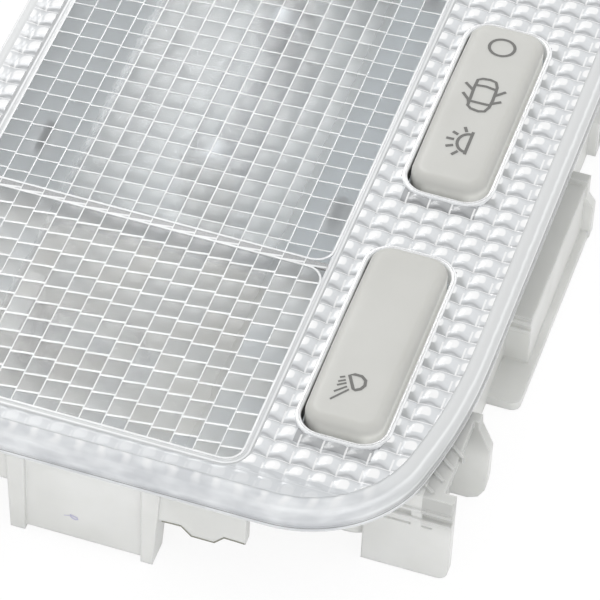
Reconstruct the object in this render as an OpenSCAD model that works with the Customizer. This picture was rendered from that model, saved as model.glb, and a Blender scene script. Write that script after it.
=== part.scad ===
// Car roof dome light with a clear prismatic cover, three rocker switches,
// one dome bulb and two reading bulbs.
// X runs across the light with the switches on +X, Y runs along it, and Z points
// out of the cover. The lowest feet of the housing stand on Z = 0.

/* [Cover] */
// Width of the clear cover
cover_w = 84.6; // [82:0.2:92]
// Length of the clear cover
cover_l = 158.8; // [154:0.2:172]
// Height of the cover's flat face above the feet
cover_top = 20.2; // [19.4:0.1:24]
// Thickness of the cover's plate
cover_t = 2; // [1.6:0.1:2.6]
// Depth of the skirt below the cover's face
skirt_h = 4.2; // [3.6:0.1:4.4]
// Thickness of the skirt
skirt_t = 1.2; // [0.9:0.1:1.4]
// Radius of the rolled edge between face and skirt
edge_r = 2.5; // [1.5:0.1:2.8]
// Radius of the plan corners
corner_r = 18; // [16:0.5:20]
// Radius of the slow curve that leads into each corner
ease_r = 90; // [80:5:100]
// Angle that the slow curve turns through
ease_angle = 14; // [10:1:16]

/* [Optics] */
// Side of one cell of the fine grid and of the pillow optics
pitch = 3.2; // [3:0.1:3.4]
// Cells across the fine grid
grid_columns = 16; // [14:1:16]
// Distance from the cover's left edge to the fine grid
grid_inset = 7.4; // [7:0.1:8.4]
// Distance of a grid line across the cover from the cover's middle
grid_shift = -1; // [-1.6:0.1:1.6]
// Distance from the cover's ends to the reading windows
window_inset = 5.8; // [5:0.1:7]
// Width of the bars between the dome window and the reading windows
window_bar = 1.4; // [1:0.1:2]
// Middle of each bar, measured from the cover's middle
window_bar_y = 35.8; // [35:0.1:37]
// Corner radius of the windows
window_r = 2.6; // [1.5:0.1:3.5]
// Height of the pillows over the cover's face
pillow_h = 0.6; // [0.4:0.05:0.8]
// Width of the ribs that draw the fine grid
rib_w = 0.32; // [0.24:0.02:0.5]
// Height of the ribs that draw the fine grid
rib_h = 0.16; // [0.1:0.02:0.3]
// Depth of the prism rows inside the reading windows
prism_h = 0.45; // [0.3:0.05:0.7]

/* [Rockers] */
// Distance from the cover's right edge to the middle of the rockers
rocker_inset = 15; // [14.4:0.1:15.6]
// Distance between neighbouring rockers
rocker_spacing = 47.7; // [45:0.1:50]
// Width of a rocker
rocker_w = 11; // [10:0.1:11.4]
// Length of a rocker
rocker_l = 34; // [32:0.1:36]
// Height of a rocker above the cover's face
rocker_proud = 3.1; // [2.6:0.1:3.4]
// Plan corner radius of a rocker
rocker_r = 2.9; // [2:0.1:3.6]
// Wall of a rocker
rocker_wall = 1.4; // [1.1:0.1:1.8]
// Gap between rocker and cover along the sides
rocker_gap = 0.42; // [0.35:0.01:0.5]
// Extra gap at a rocker's ends, for its tilt
rocker_end_gap = 0.35; // [0.35:0.05:0.6]
// Depth of the pivot below the cover's face
pivot_depth = 4.6; // [4.5:0.1:5]
// Radius of the trunnions
trunnion_r = 1.5; // [1.2:0.05:1.7]
// Radial clearance of trunnions and plungers in their bores
running_fit = 0.06; // [0.03:0.01:0.1]

/* [Housing] */
// Wall of the housing
wall = 1.6; // [1.4:0.1:1.8]
// Wall and floor of the lamp pockets and switch wells
pocket_wall = 1.2; // [1:0.1:1.4]
// Gap between housing and skirt
skirt_gap = 0.6; // [0.4:0.1:0.8]
// Gap between deck and cover plate
deck_gap = 1; // [0.6:0.1:1.2]
// Height of the pocket floors' undersides over the feet
floor_z = 4.2; // [3.8:0.1:4.6]
// Distance from the cover's left edge to the lamp pockets
pocket_inset = 18.8; // [17.8:0.1:19.8]
// Right side of the lamp pockets, from the middle
pocket_right = 9.1; // [8.5:0.1:9.8]
// Half the length of the dome pocket
dome_pocket_y = 33; // [32:0.1:33.4]
// Length of a reading pocket
reading_pocket_l = 32.5; // [31:0.1:33.2]
// Corner radius of the pockets
pocket_r = 3; // [2:0.1:4]
// Distance from the cover's edges to the outer faces of the long walls
side_inset = 2.1; // [1.9:0.1:2.7]
// How far the side feet stand out over the long walls
foot_reach = 5; // [4:0.1:5.4]
// Lower edge of the end walls over the feet
end_wall_z = 9; // [8:0.1:10]

/* [End tabs] */
// Width of the tab in the middle of each end
tab_w = 21.8; // [20:0.2:24]
// Distance of the tab's middle to the left of the cover's middle
tab_offset = 3.9; // [2:0.1:5]
// Width of the tab's side flanges
tab_flange = 2.6; // [2:0.1:3.2]
// Depth of the tab's side flanges
tab_depth = 4; // [3:0.1:5]

/* [Bulbs] */
// Height of the bulb axes over the feet
bulb_z = 10.9; // [10.8:0.1:11.4]
// Radius of the dome bulb's glass
festoon_r = 5; // [4.6:0.1:5.2]
// Length of the dome bulb over its caps
festoon_l = 37; // [36:0.1:39]
// Distance of the bulb axis to the left of the cover's middle
festoon_offset = 7; // [6:0.1:8]
// Radius of the reading bulbs' glass
wedge_r = 4.9; // [4.4:0.1:5]
// Length of the reading bulbs
wedge_l = 26.8; // [25:0.1:28]

/* [Conductors] */
// Thickness of the stamped conductors
strip_t = 0.8; // [0.6:0.1:0.8]
// Width of the stamped conductors
strip_w = 3; // [2.4:0.1:3.2]
// Thickness of the sprung contacts
leaf_t = 0.5; // [0.3:0.05:0.6]

/* [Hidden] */
$fn = 48;

// Plan of the cover
half_w = cover_w / 2;
half_l = cover_l / 2;
corner_y = half_l - corner_r;
ease_y = corner_y - (ease_r - corner_r) * sin(ease_angle);
corner_x = half_w - ease_r + (ease_r - corner_r) * cos(ease_angle);
arc_steps = 10;
ease_steps = 2;

// Plan of the housing
side_x = half_w - side_inset;
pocket_left = half_w - pocket_inset;

// Levels
cover_under = cover_top - cover_t;
skirt_z = cover_top - skirt_h;
deck_top = cover_under - deck_gap;
deck_t = 1.2;
well_floor = floor_z + pocket_wall;
strip_z = floor_z - strip_t;
foot_top = skirt_z - 0.3;
band_z = 14.3;
end_wall_x = 19;

// Windows and optics
grid_x = -half_w + grid_inset;
grid_w = grid_columns * pitch;
window_end = half_l - window_inset;
pillow_rows = 2 * floor((half_l - 2) / pitch);
pillow_columns = floor((cover_w - grid_inset - grid_w - edge_r) / pitch);
pillow_sag = pillow_h + 0.2;
pillow_radius = (pow(pitch / 2, 2) + pow(pillow_sag, 2)) / (2 * pillow_sag);
lip_w = 0.8;
lip_h = 0.75;

// Rockers
rocker_x = half_w - rocker_inset;
rocker_places = [-rocker_spacing, 0, rocker_spacing];
pivot_z = cover_top - pivot_depth;
rocker_top = cover_top + rocker_proud;
rocker_bottom = pivot_z - 2.4;
rocker_edge_r = 1.5;
hole_w = rocker_w + 2 * rocker_gap;
hole_l = rocker_l + 2 * (rocker_gap + rocker_end_gap);
hole_r = rocker_r + rocker_gap;
well_w = rocker_w + 0.7;
well_l = hole_l + 0.4;
ear_t = 1.8;
ear_top = cover_under - 0.2;
trunnion_l = 1.5;
stem_r = 2.7;
plunger_r = 1.6;
stem_z = pivot_z - 6.4;
tip_r = 1;
tip_z = well_floor + 0.3;
plunger_top = stem_z + 4;
stem_bore_top = rocker_top - rocker_wall - 1.2;
bridge_y = 10;
bridge_z = pivot_z - 5;
tongue_top = bridge_z - 1.7;
tongue_x = 2.5;
tongue_w = 4;

// Lamp pockets
reading_near = -dome_pocket_y - 2 * pocket_wall - 2.1 - reading_pocket_l;
reading_y = reading_near + reading_pocket_l / 2;
pocket_mid_x = (pocket_right - pocket_left) / 2;
pocket_w = pocket_right + pocket_left;

// Bulbs
cap_r = 3.7;
cap_l = 5;
festoon_x = -festoon_offset;
contact_y = festoon_l / 2 - 0.25;
contact_leg = 2;
contact_leg_y = contact_y + contact_leg;
glass_in_cap = 2.4;
glass_wall = 0.6;
base_l = 9;
base_w = 9.4;
base_t = 2.6;
holder_w = 12.4;
holder_h = 10;
holder_l = 13;
holder_front = -pocket_left + 3;
holder_leg_y = 2.7;
filament_wire = 0.17;

// Connector
pin_pitch = 3;
pin_y = 20.5;
pin_w = 1.2;
pin_end = side_x - 2.7;
shroud_wall = 1.1;
shroud_y0 = 17.6;
shroud_y1 = 29.4;
shroud_z0 = 0.5;
shroud_z1 = 7.3;
shroud_x0 = side_x - 5.6;
shroud_x1 = side_x + 1.4;

// Side box and end tabs
flange_y0 = -34.6;
flange_reach = 4.7;
box_y0 = -26.5;
box_y1 = 1.3;
box_step = 3.6;
box_top = 10.4;
foot_places = [-67.1, -51.2, -33.9];
foot_t = 1.6;
tab_x0 = -tab_offset - tab_w / 2;
tab_x1 = -tab_offset + tab_w / 2;
tab_face = half_l - skirt_t - skirt_gap;

// Conductor routes
live_x = -pocket_left + 3.2;
earth_x = rocker_x + 5.5;
pin_start = earth_x - 3;
return_x = pocket_right + 3.6;
leg_x = holder_front + leaf_t / 2;

cover_colour = [0.85, 0.88, 0.9, 0.35];
housing_colour = [0.82, 0.82, 0.79];
rocker_colour = [0.76, 0.76, 0.73];
brass_colour = [0.8, 0.68, 0.4];
steel_colour = [0.7, 0.71, 0.73];
glass_colour = [0.9, 0.93, 0.95, 0.4];

// Points along one quarter of the cover's outline, moved inwards by inset
function quarter(inset) = concat(
    [for (i = [0:ease_steps - 1])
        let (a = ease_angle * i / ease_steps)
        [half_w - ease_r + (ease_r - inset) * cos(a), ease_y + (ease_r - inset) * sin(a)]],
    [for (i = [0:arc_steps])
        let (a = ease_angle + (90 - ease_angle) * i / arc_steps)
        [corner_x + (corner_r - inset) * cos(a), corner_y + (corner_r - inset) * sin(a)]]
);

function flipped(points, sx, sy) = [for (p = points) [sx * p[0], sy * p[1]]];
function backwards(points) = [for (i = [len(points) - 1:-1:0]) points[i]];

function outline_points(inset) =
    let (q = quarter(inset))
    concat(q, backwards(flipped(q, -1, 1)), flipped(q, -1, -1), backwards(flipped(q, 1, -1)));

module outline(inset) {
    polygon(outline_points(inset));
}

module rounded_rect(w, l, r) {
    square([w - 2 * r, l], center = true);
    square([w, l - 2 * r], center = true);
    for (x = [-1, 1], y = [-1, 1])
        translate([x * (w / 2 - r), y * (l / 2 - r)])
            circle(r);
}

module slab(z0, z1) {
    translate([0, 0, z0])
        linear_extrude(z1 - z0)
            children();
}

module block(p0, p1) {
    translate(p0)
        cube(p1 - p0);
}

// Loops of the cover's shell as [inset, height], from the plate's underside over the
// skirt and the rolled edge to the flat face
edge_steps = 4;
dish_loops = concat(
    [[skirt_t, cover_under], [skirt_t, skirt_z], [0, skirt_z]],
    [for (i = [0:edge_steps])
        let (a = 90 * i / edge_steps)
        [edge_r * (1 - cos(a)), cover_top - edge_r * (1 - sin(a))]]
);

// Plate, rolled edge and skirt in one shell, lofted from inset copies of the outline
module dish() {
    n = len(outline_points(0));
    last = len(dish_loops) - 1;
    points = [for (l = dish_loops, p = outline_points(l[0])) [p[0], p[1], l[1]]];
    sides = [for (k = [0:last - 1], i = [0:n - 1])
        [k * n + i, (k + 1) * n + i, (k + 1) * n + (i + 1) % n, k * n + (i + 1) % n]];
    bottom = [for (i = [0:n - 1]) i];
    top = [for (i = [n - 1:-1:0]) last * n + i];
    polyhedron(points, concat([bottom, top], sides));
}

module rocker_holes(grow, z0, z1) {
    for (y = rocker_places)
        translate([rocker_x, y, 0])
            slab(z0, z1)
                rounded_rect(hole_w + 2 * grow, hole_l + 2 * grow, hole_r + grow);
}

// Region of the face that carries pillow optics
module pillow_region() {
    difference() {
        outline(edge_r + 0.1);
        translate([grid_x + grid_w / 2, 0])
            rounded_rect(grid_w, 2 * window_end, window_r);
        for (y = rocker_places)
            translate([rocker_x, y])
                rounded_rect(hole_w + 2 * lip_w, hole_l + 2 * lip_w, hole_r + lip_w);
    }
}

// Scalloped profile: one arc for each cell, from first to last
module scallops(first, last) {
    base = pillow_sag + 0.3;
    intersection() {
        for (i = [first:last])
            translate([(i + 0.5) * pitch, pillow_sag - pillow_radius])
                circle(pillow_radius);
        translate([first * pitch, -0.2])
            square([(last - first + 1) * pitch, base + 1]);
    }
    translate([first * pitch, -0.3])
        square([(last - first + 1) * pitch, 0.35]);
}

// Pillows are where lengthwise and crosswise scallops meet
module pillows() {
    first_column = -ceil(grid_inset / pitch);
    last_column = grid_columns + pillow_columns;
    z0 = cover_top - (pillow_sag - pillow_h);
    intersection() {
        slab(cover_top - 0.4, cover_top + pillow_h + 1)
            pillow_region();
        translate([-half_w, grid_shift, z0])
            rotate([90, 0, 90])
                linear_extrude(cover_w)
                    scallops(-pillow_rows / 2, pillow_rows / 2 - 1);
        translate([grid_x, half_l, z0])
            rotate([90, 0, 0])
                linear_extrude(cover_l)
                    scallops(first_column, last_column);
    }
}

// Ribs along the cover, on its face
module face_ribs() {
    for (i = [0:grid_columns])
        translate([grid_x + i * pitch - rib_w / 2, -window_end, cover_top - 0.1])
            cube([rib_w, 2 * window_end, rib_h + 0.1]);
}

// Ribs across the cover, on its inner side, under the dome window
module inner_ribs() {
    rows = floor((window_bar_y - abs(grid_shift)) / pitch);
    for (i = [-rows:rows])
        translate([grid_x, i * pitch + grid_shift - rib_w / 2, cover_under - rib_h])
            cube([grid_w, rib_w, rib_h + 0.1]);
}

// Saw-tooth prism rows across the inner side of the reading windows
module prism_rows() {
    start = window_bar_y + window_bar / 2;
    rows = floor((window_end - start) / pitch);
    for (s = [0, 1])
        mirror([0, s, 0])
            for (i = [0:rows - 1])
                translate([grid_x, start + i * pitch, cover_under + 0.1])
                    rotate([90, 0, 90])
                        linear_extrude(grid_w)
                            polygon([[0, 0], [pitch, 0], [pitch, -0.1], [0.4, -0.1 - prism_h], [0, -0.1]]);
}

module window_bars() {
    for (s = [-1, 1])
        translate([grid_x, s * window_bar_y - window_bar / 2, cover_under - 0.8])
            cube([grid_w, window_bar, 0.9]);
    for (x = [grid_x, grid_x + grid_w - window_bar])
        translate([x, -window_end, cover_under - 0.6])
            cube([window_bar, 2 * window_end, 0.7]);
}

// Snap legs that hang from the cover and catch under the deck
hook_w = 6;
hook_t = 1.2;
hook_barb = 0.7;
hook_places = [
    [-pocket_left - 6, -24, -1], [-pocket_left - 6, 24, -1],
    [pocket_right + 5, -24, 1], [pocket_right + 5, 24, 1]
];
hook_bottom = deck_top - deck_t - 2;

module snap_leg(side) {
    translate([-hook_t / 2, -hook_w / 2, hook_bottom])
        cube([hook_t, hook_w, cover_under - hook_bottom + 0.1]);
    barb_top = deck_top - deck_t - 0.2;
    translate([0, hook_w / 2, 0])
        rotate([90, 0, 0])
            linear_extrude(hook_w)
                polygon([
                    [0, hook_bottom],
                    [side * hook_t / 2, hook_bottom],
                    [side * (hook_t / 2 + hook_barb), barb_top],
                    [0, barb_top]
                ]);
}

module lens() {
    color(cover_colour)
        difference() {
            union() {
                dish();
                pillows();
                face_ribs();
                inner_ribs();
                prism_rows();
                window_bars();
                rocker_holes(lip_w, cover_under, cover_top + lip_h);
                for (h = hook_places)
                    translate([h[0], h[1], 0])
                        snap_leg(h[2]);
            }
            rocker_holes(0, cover_under - 1, cover_top + 2);
        }
}

// Hollow box, open at the top, with rounded plan corners
module tub_solid(w, l, r) {
    slab(floor_z, deck_top)
        rounded_rect(w + 2 * pocket_wall, l + 2 * pocket_wall, r + pocket_wall);
}

module tub_hollow(w, l, r) {
    slab(well_floor, cover_top)
        rounded_rect(w, l, r);
}

// Band round the deck, drawn down to end walls in the middle of each end
module perimeter_wall() {
    inset = skirt_t + skirt_gap;
    difference() {
        union() {
            slab(band_z, cover_under)
                outline(inset);
            slab(end_wall_z, band_z + 0.1)
                intersection() {
                    outline(inset);
                    square([2 * end_wall_x, cover_l], center = true);
                }
        }
        slab(end_wall_z - 1, cover_under + 1)
            outline(inset + wall);
    }
}

module deck() {
    slab(deck_top - deck_t, deck_top)
        outline(skirt_t + skirt_gap + wall / 2);
}

// Long walls below the skirt, from the first foot to the last
module long_walls() {
    reach = abs(foot_places[0]);
    for (s = [-1, 1])
        translate([s > 0 ? side_x - wall : -side_x, -reach, 0])
            cube([wall, 2 * reach, foot_top]);
}

// One side foot: a cross plate with a rounded lower corner, wider below than above
module side_foot() {
    r = foot_reach;
    translate([0, foot_t / 2, 0])
        rotate([90, 0, 0])
            linear_extrude(foot_t)
                polygon([
                    [-1, 0], [r - 2.6, 0], [r - 1.1, 0.7], [r - 0.2, 2.4], [r, 4.6],
                    [r, 10.5], [r - 1.7, 14.3], [r - 1.8, foot_top], [-1, foot_top]
                ]);
}

// Corner plate with the stepped grooves that run across its outer face
module corner_plate() {
    w = 12.2;
    reach = 4.1;
    r = 1.6;
    groove = 0.5;
    translate([side_x + reach - w, 0, 0])
        difference() {
            translate([0, foot_t, 0])
                rotate([90, 0, 0])
                    linear_extrude(foot_t)
                        difference() {
                            square([w, foot_top]);
                            translate([w - r, 0])
                                difference() {
                                    square(r);
                                    translate([0, r])
                                        circle(r);
                                }
                        }
            translate([-1, -1, foot_top - 4.4])
                cube([w + 2, 1 + groove, 1.3]);
            translate([-1, -1, foot_top - 6.2])
                cube([w - 1.7, 1 + groove / 2, 0.4]);
        }
    for (z = [foot_top - 3, foot_top - 4.8])
        translate([side_x + reach - w, -0.35, z])
            cube([w, 0.45, 0.45]);
}

// Flat shelf between the curved wall and the corner plate, with slanted ribs
module corner_shelf() {
    y = foot_places[0];
    difference() {
        translate([side_x - 8, y + 0.2, foot_top - 1.4])
            cube([8 + 2.4, foot_places[1] - y, 1.4]);
        slab(foot_top - 2, foot_top + 1)
            outline(skirt_t + skirt_gap + wall - 0.2);
    }
    for (i = [0:3])
        translate([side_x - 1.6 + i * 0.7, y + 2.6 + i * 2.4, foot_top - 0.9])
            rotate([0, 0, -38])
                cube([3, 0.5, 0.9 + 0.25]);
}

module feet_of_one_corner() {
    translate([0, foot_places[0], 0])
        corner_plate();
    translate([side_x, foot_places[1], 0])
        side_foot();
    corner_shelf();
}

// The feet next to the middle, on the three corners away from the side box
module middle_feet() {
    for (c = [[-1, -1], [-1, 1], [1, 1]])
        mirror([c[0] < 0 ? 1 : 0, 0, 0])
            translate([side_x, -c[1] * foot_places[2], 0])
                side_foot();
}

// Long box on the outer face of the switch side, over a flange that runs along its foot
module side_box() {
    flange_x = side_x + flange_reach;
    flange_t = 1.5;
    r = 1.4;
    slab(0, flange_t)
        difference() {
            translate([side_x - 0.1, flange_y0])
                square([flange_reach + 0.1, box_y1 - flange_y0]);
            translate([flange_x - r, flange_y0])
                difference() {
                    square(r);
                    translate([0, r])
                        circle(r);
                }
        }
    block([side_x - 0.1, box_y0, 0], [side_x + box_step, box_y1, box_top]);
    for (z = [box_top - 2.6, box_top - 1])
        block([side_x, box_y0 - 0.5, z], [side_x + box_step, box_y0 + 0.1, z + 0.6]);
    translate([0, box_y1 + foot_t, 0])
        rotate([90, 0, 0])
            linear_extrude(foot_t)
                polygon([
                    [side_x - 0.1, 0], [flange_x, 0], [flange_x + 0.3, 0.6],
                    [flange_x + 0.3, 6.4], [side_x + box_step + 0.3, 8],
                    [side_x + box_step + 0.3, box_top + 0.9], [side_x - 0.1, box_top + 0.9]
                ]);
}

// Channel-shaped tab in the middle of an end
module end_tab() {
    translate([0, -tab_face, 0]) {
        block([tab_x0 + tab_flange - 0.4, 0, 0.7], [tab_x1 - tab_flange + 0.4, wall, skirt_z]);
        for (s = [0, 1]) {
            x = s == 0 ? tab_x0 : tab_x1 - tab_flange;
            slant = s == 0 ? 0.5 : -0.9;
            translate([0, tab_depth - 0.4, 0])
                rotate([90, 0, 0])
                    linear_extrude(tab_depth)
                        polygon([
                            [x + max(slant, 0), 0], [x + tab_flange + min(slant, 0), 0],
                            [x + tab_flange, skirt_z - 1.5], [x, skirt_z - 1.5]
                        ]);
        }
        block([tab_x0 + 0.9, -0.4, 0], [tab_x0 + 1.5, 0.2, skirt_z - 1.6]);
    }
}

// Small lug on the end wall, beside the tab
module end_lug() {
    translate([0, -tab_face + wall, 0])
        rotate([90, 0, 0])
            linear_extrude(wall)
                polygon([
                    [tab_x1 + 3, end_wall_z + 0.2], [tab_x1 + 4.4, end_wall_z - 1.4],
                    [tab_x1 + 7.6, end_wall_z - 1.4], [tab_x1 + 9, end_wall_z + 0.2]
                ]);
}

// Switch well with its two pivot ears
module well_solid() {
    tub_solid(well_w, well_l, hole_r);
    ear_l = 9;
    slab(floor_z, ear_top)
        square([well_w + 2 * ear_t, ear_l], center = true);
}

module well_hollow() {
    slab(well_floor, cover_top)
        rounded_rect(well_w, well_l, hole_r);
    bore_l = well_w + 2 * ear_t + 2;
    translate([-bore_l / 2, 0, pivot_z])
        rotate([0, 90, 0])
            cylinder(r = trunnion_r + running_fit, h = bore_l);
    translate([-bore_l / 2, -trunnion_r * 0.8, pivot_z])
        cube([bore_l, trunnion_r * 1.6, 5]);
}

// Low ribs on the well floor that stop the plunger's tip
module detent_ribs() {
    for (s = [-1, 1])
        translate([-3, s * 3.1, well_floor])
            rotate([0, 90, 0])
                cylinder(r = 0.6, h = 6);
}

// Slot through a pocket or well floor
module floor_slot(x, y, w, l) {
    block([x - w / 2, y - l / 2, floor_z - 1], [x + w / 2, y + l / 2, well_floor + 1]);
}

slot_gap = 0.25;
rocker_signs = [-1, -1, 1];

module tongue_slots() {
    for (i = [0:2])
        for (x = [-tongue_x, tongue_x])
            floor_slot(
                rocker_x + x,
                rocker_places[i] + rocker_signs[i] * bridge_y,
                tongue_w + 2 * slot_gap,
                strip_t + 2 * slot_gap
            );
    floor_slot(rocker_x, 0, tongue_w + 2 * slot_gap, strip_t + 2 * slot_gap);
}

module contact_slots() {
    for (s = [-1, 1]) {
        floor_slot(festoon_x, s * contact_leg_y, 4 + 2 * slot_gap, leaf_t + 2 * slot_gap);
        for (d = [-1, 1])
            floor_slot(
                holder_front + leaf_t / 2,
                s * (abs(reading_y) + d * holder_leg_y),
                leaf_t + 2 * slot_gap,
                2.5 + 2 * slot_gap
            );
    }
}

// Rectangular windows in the pockets' left walls, for the bulb holders
module holder_windows() {
    for (s = [-1, 1])
        translate([
            -pocket_left - pocket_wall - 1,
            s * abs(reading_y) - holder_w / 2 - 0.1,
            bulb_z - holder_h / 2 - 0.1
        ])
            cube([pocket_wall + 2, holder_w + 0.2, holder_h + 0.2]);
}

// Stakes that hold the conductors: a pin through the strip and a flattened head
stake_r = 0.8;
stake_places = [
    [live_x, -40], [live_x, 10], [live_x, 45], [earth_x, -40], [earth_x, 6], [earth_x, 45],
    [0, -abs(reading_y) - holder_leg_y], [0, abs(reading_y) + holder_leg_y], [pocket_right - 2, contact_leg_y]
];

module stakes() {
    for (p = stake_places)
        translate([p[0], p[1], strip_z - 0.7]) {
            cylinder(r = stake_r, h = strip_t + 0.8);
            cylinder(r1 = 1.1, r2 = 1.5, h = 0.65);
        }
}

module connector_shroud() {
    block([shroud_x0, shroud_y0, shroud_z0], [shroud_x1, shroud_y1, shroud_z1]);
    block([shroud_x0, shroud_y0 + 2, shroud_z1 - 0.1], [side_x, shroud_y0 + 3.2, deck_top - 0.5]);
    block([shroud_x0, shroud_y1 - 3.2, shroud_z1 - 0.1], [side_x, shroud_y1 - 2, deck_top - 0.5]);
}

module connector_hollow() {
    block(
        [shroud_x0 + 1.2, shroud_y0 + shroud_wall, shroud_z0 + shroud_wall],
        [shroud_x1 + 1, shroud_y1 - shroud_wall, shroud_z1 - shroud_wall]
    );
    for (i = [0:2])
        block(
            [shroud_x0 - 1, pin_y + i * pin_pitch - pin_w / 2 - 0.1, strip_z - 0.1],
            [shroud_x0 + 2, pin_y + i * pin_pitch + pin_w / 2 + 0.1, strip_z + strip_t + 0.1]
        );
}

module deck_slots() {
    for (h = hook_places)
        translate([h[0] - hook_t / 2 - 1.2, h[1] - hook_w / 2 - 0.3, deck_top - deck_t - 1])
            cube([hook_t + 2.4, hook_w + 0.6, deck_t + 2]);
}

// Cross webs that carry the pockets and stiffen the deck
module webs() {
    web_z = well_floor + 2;
    inner = [rocker_spacing - 17.7, rocker_spacing + 4.3];
    outer = [8, rocker_spacing - 11.7, rocker_spacing + 12.3];
    left = [12, dome_pocket_y + 3];
    for (y = concat([0], inner, -inner))
        block([pocket_right + 0.5, y - 0.6, web_z], [rocker_x - well_w / 2 - 0.5, y + 0.6, deck_top - 0.5]);
    for (y = concat(left, -left))
        block([-side_x + wall - 0.3, y - 0.6, web_z], [-pocket_left - 0.5, y + 0.6, deck_top - 0.5]);
    for (y = concat(outer, -outer))
        block([rocker_x + well_w / 2 + 0.5, y - 0.6, web_z], [side_x - wall + 0.3, y + 0.6, deck_top - 0.5]);
}

module housing() {
    color(housing_colour)
        difference() {
            union() {
                difference() {
                    union() {
                        perimeter_wall();
                        deck();
                        long_walls();
                        webs();
                        for (sx = [0, 1], sy = [0, 1])
                            mirror([sx, 0, 0])
                                mirror([0, sy, 0])
                                    feet_of_one_corner();
                        side_box();
                        middle_feet();
                        for (s = [0, 1])
                            mirror([0, s, 0]) {
                                end_tab();
                                end_lug();
                            }
                        translate([pocket_mid_x, 0, 0])
                            tub_solid(pocket_w, 2 * dome_pocket_y, pocket_r);
                        for (s = [-1, 1])
                            translate([pocket_mid_x, s * reading_y, 0])
                                tub_solid(pocket_w, reading_pocket_l, pocket_r);
                        for (y = rocker_places)
                            translate([rocker_x, y, 0])
                                well_solid();
                    }
                    translate([pocket_mid_x, 0, 0])
                        tub_hollow(pocket_w, 2 * dome_pocket_y, pocket_r);
                    for (s = [-1, 1])
                        translate([pocket_mid_x, s * reading_y, 0])
                            tub_hollow(pocket_w, reading_pocket_l, pocket_r);
                    for (y = rocker_places)
                        translate([rocker_x, y, 0])
                            well_hollow();
                    holder_windows();
                    deck_slots();
                }
                for (y = rocker_places)
                    translate([rocker_x, y, 0])
                        detent_ribs();
                connector_shroud();
                stakes();
            }
            connector_hollow();
            tongue_slots();
            contact_slots();
        }
}

// A rocker in its own place: origin on the pivot axis, at mid width
module rocker_shell() {
    top = rocker_top - pivot_z;
    bottom = rocker_bottom - pivot_z;
    crown = 0.5;
    difference() {
        hull()
            for (x = [-1, 1], y = [-1, 0, 1])
                translate([
                    x * (rocker_w / 2 - rocker_r),
                    y * (rocker_l / 2 - rocker_r),
                    0
                ]) {
                    drop = y == 0 ? 0 : crown;
                    translate([0, 0, bottom])
                        cylinder(r = rocker_r, h = top - drop - rocker_edge_r - bottom, $fn = 32);
                    translate([0, 0, top - drop - rocker_edge_r])
                        rotate_extrude($fn = 32) {
                            square([rocker_r - rocker_edge_r, rocker_edge_r]);
                            translate([rocker_r - rocker_edge_r, 0])
                                intersection() {
                                    circle(rocker_edge_r, $fn = 24);
                                    square(rocker_edge_r);
                                }
                        }
                }
        slab(bottom - 1, top - crown - rocker_wall)
            rounded_rect(
                rocker_w - 2 * rocker_wall,
                rocker_l - 2 * rocker_wall,
                rocker_r - rocker_wall
            );
    }
}

module rocker(side) {
    inner_top = rocker_top - pivot_z - 0.5 - rocker_wall;
    reach = rocker_w / 2 + trunnion_l;
    post_z = bridge_z - pivot_z + leaf_t;
    color(rocker_colour)
        difference() {
            union() {
                rocker_shell();
                for (s = [0, 1])
                    mirror([s, 0, 0])
                        translate([rocker_w / 2 - rocker_wall - 0.2, 0, 0])
                            rotate([0, 90, 0])
                                cylinder(r = trunnion_r, h = reach - rocker_w / 2 + rocker_wall + 0.2);
                translate([0, 0, stem_z - pivot_z])
                    cylinder(r = stem_r, h = inner_top - stem_z + pivot_z + 0.2);
                translate([-3.6, side * bridge_y - 1, post_z])
                    cube([7.2, 2, inner_top - post_z + 0.2]);
                block([-rocker_w / 2 + 0.6, -0.6, -1.4], [rocker_w / 2 - 0.6, 0.6, inner_top + 0.2]);
            }
            translate([0, 0, stem_z - pivot_z - 1])
                cylinder(r = plunger_r + running_fit, h = stem_bore_top - stem_z + 1);
        }
}

module plunger() {
    color(steel_colour)
        union() {
            translate([0, 0, tip_z + tip_r])
                sphere(tip_r);
            translate([0, 0, tip_z + tip_r])
                cylinder(r = tip_r, h = stem_z + 0.8 - tip_z - tip_r);
            translate([0, 0, stem_z + 0.6])
                cylinder(r = plunger_r, h = plunger_top - stem_z - 0.6);
        }
}

// Points of a helical wire: a ring of points at each step along the coil
spring_wire = 0.22;
spring_turns = 5;
spring_steps = 12;
spring_sides = 6;
function helix_ring(i, r, lead, z0) =
    let (a = 360 * i / spring_steps, up = atan2(lead, 2 * PI * r))
    [for (k = [0:spring_sides - 1])
        let (
            b = 360 * k / spring_sides,
            radial = spring_wire * cos(b),
            side = spring_wire * sin(b)
        )
        [
            (r + radial) * cos(a) + side * sin(up) * sin(a),
            (r + radial) * sin(a) - side * sin(up) * cos(a),
            z0 + lead * i / spring_steps + side * cos(up)
        ]];

// Coil spring between the plunger's head and the end of its bore
module coil_spring() {
    n = spring_turns * spring_steps;
    r = plunger_r - spring_wire - 0.1;
    z0 = plunger_top + spring_wire + 0.02;
    lead = (stem_bore_top - spring_wire - 0.02 - z0) / spring_turns;
    m = spring_sides;
    points = [for (i = [0:n]) each helix_ring(i, r, lead, z0)];
    faces = concat(
        [[for (k = [0:m - 1]) k]],
        [for (i = [0:n - 1], k = [0:m - 1])
            [i * m + k, (i + 1) * m + k, (i + 1) * m + (k + 1) % m]],
        [for (i = [0:n - 1], k = [0:m - 1])
            [i * m + k, (i + 1) * m + (k + 1) % m, i * m + (k + 1) % m]],
        [[for (k = [m - 1:-1:0]) n * m + k]]
    );
    color(steel_colour)
        polyhedron(points, faces);
}

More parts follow.
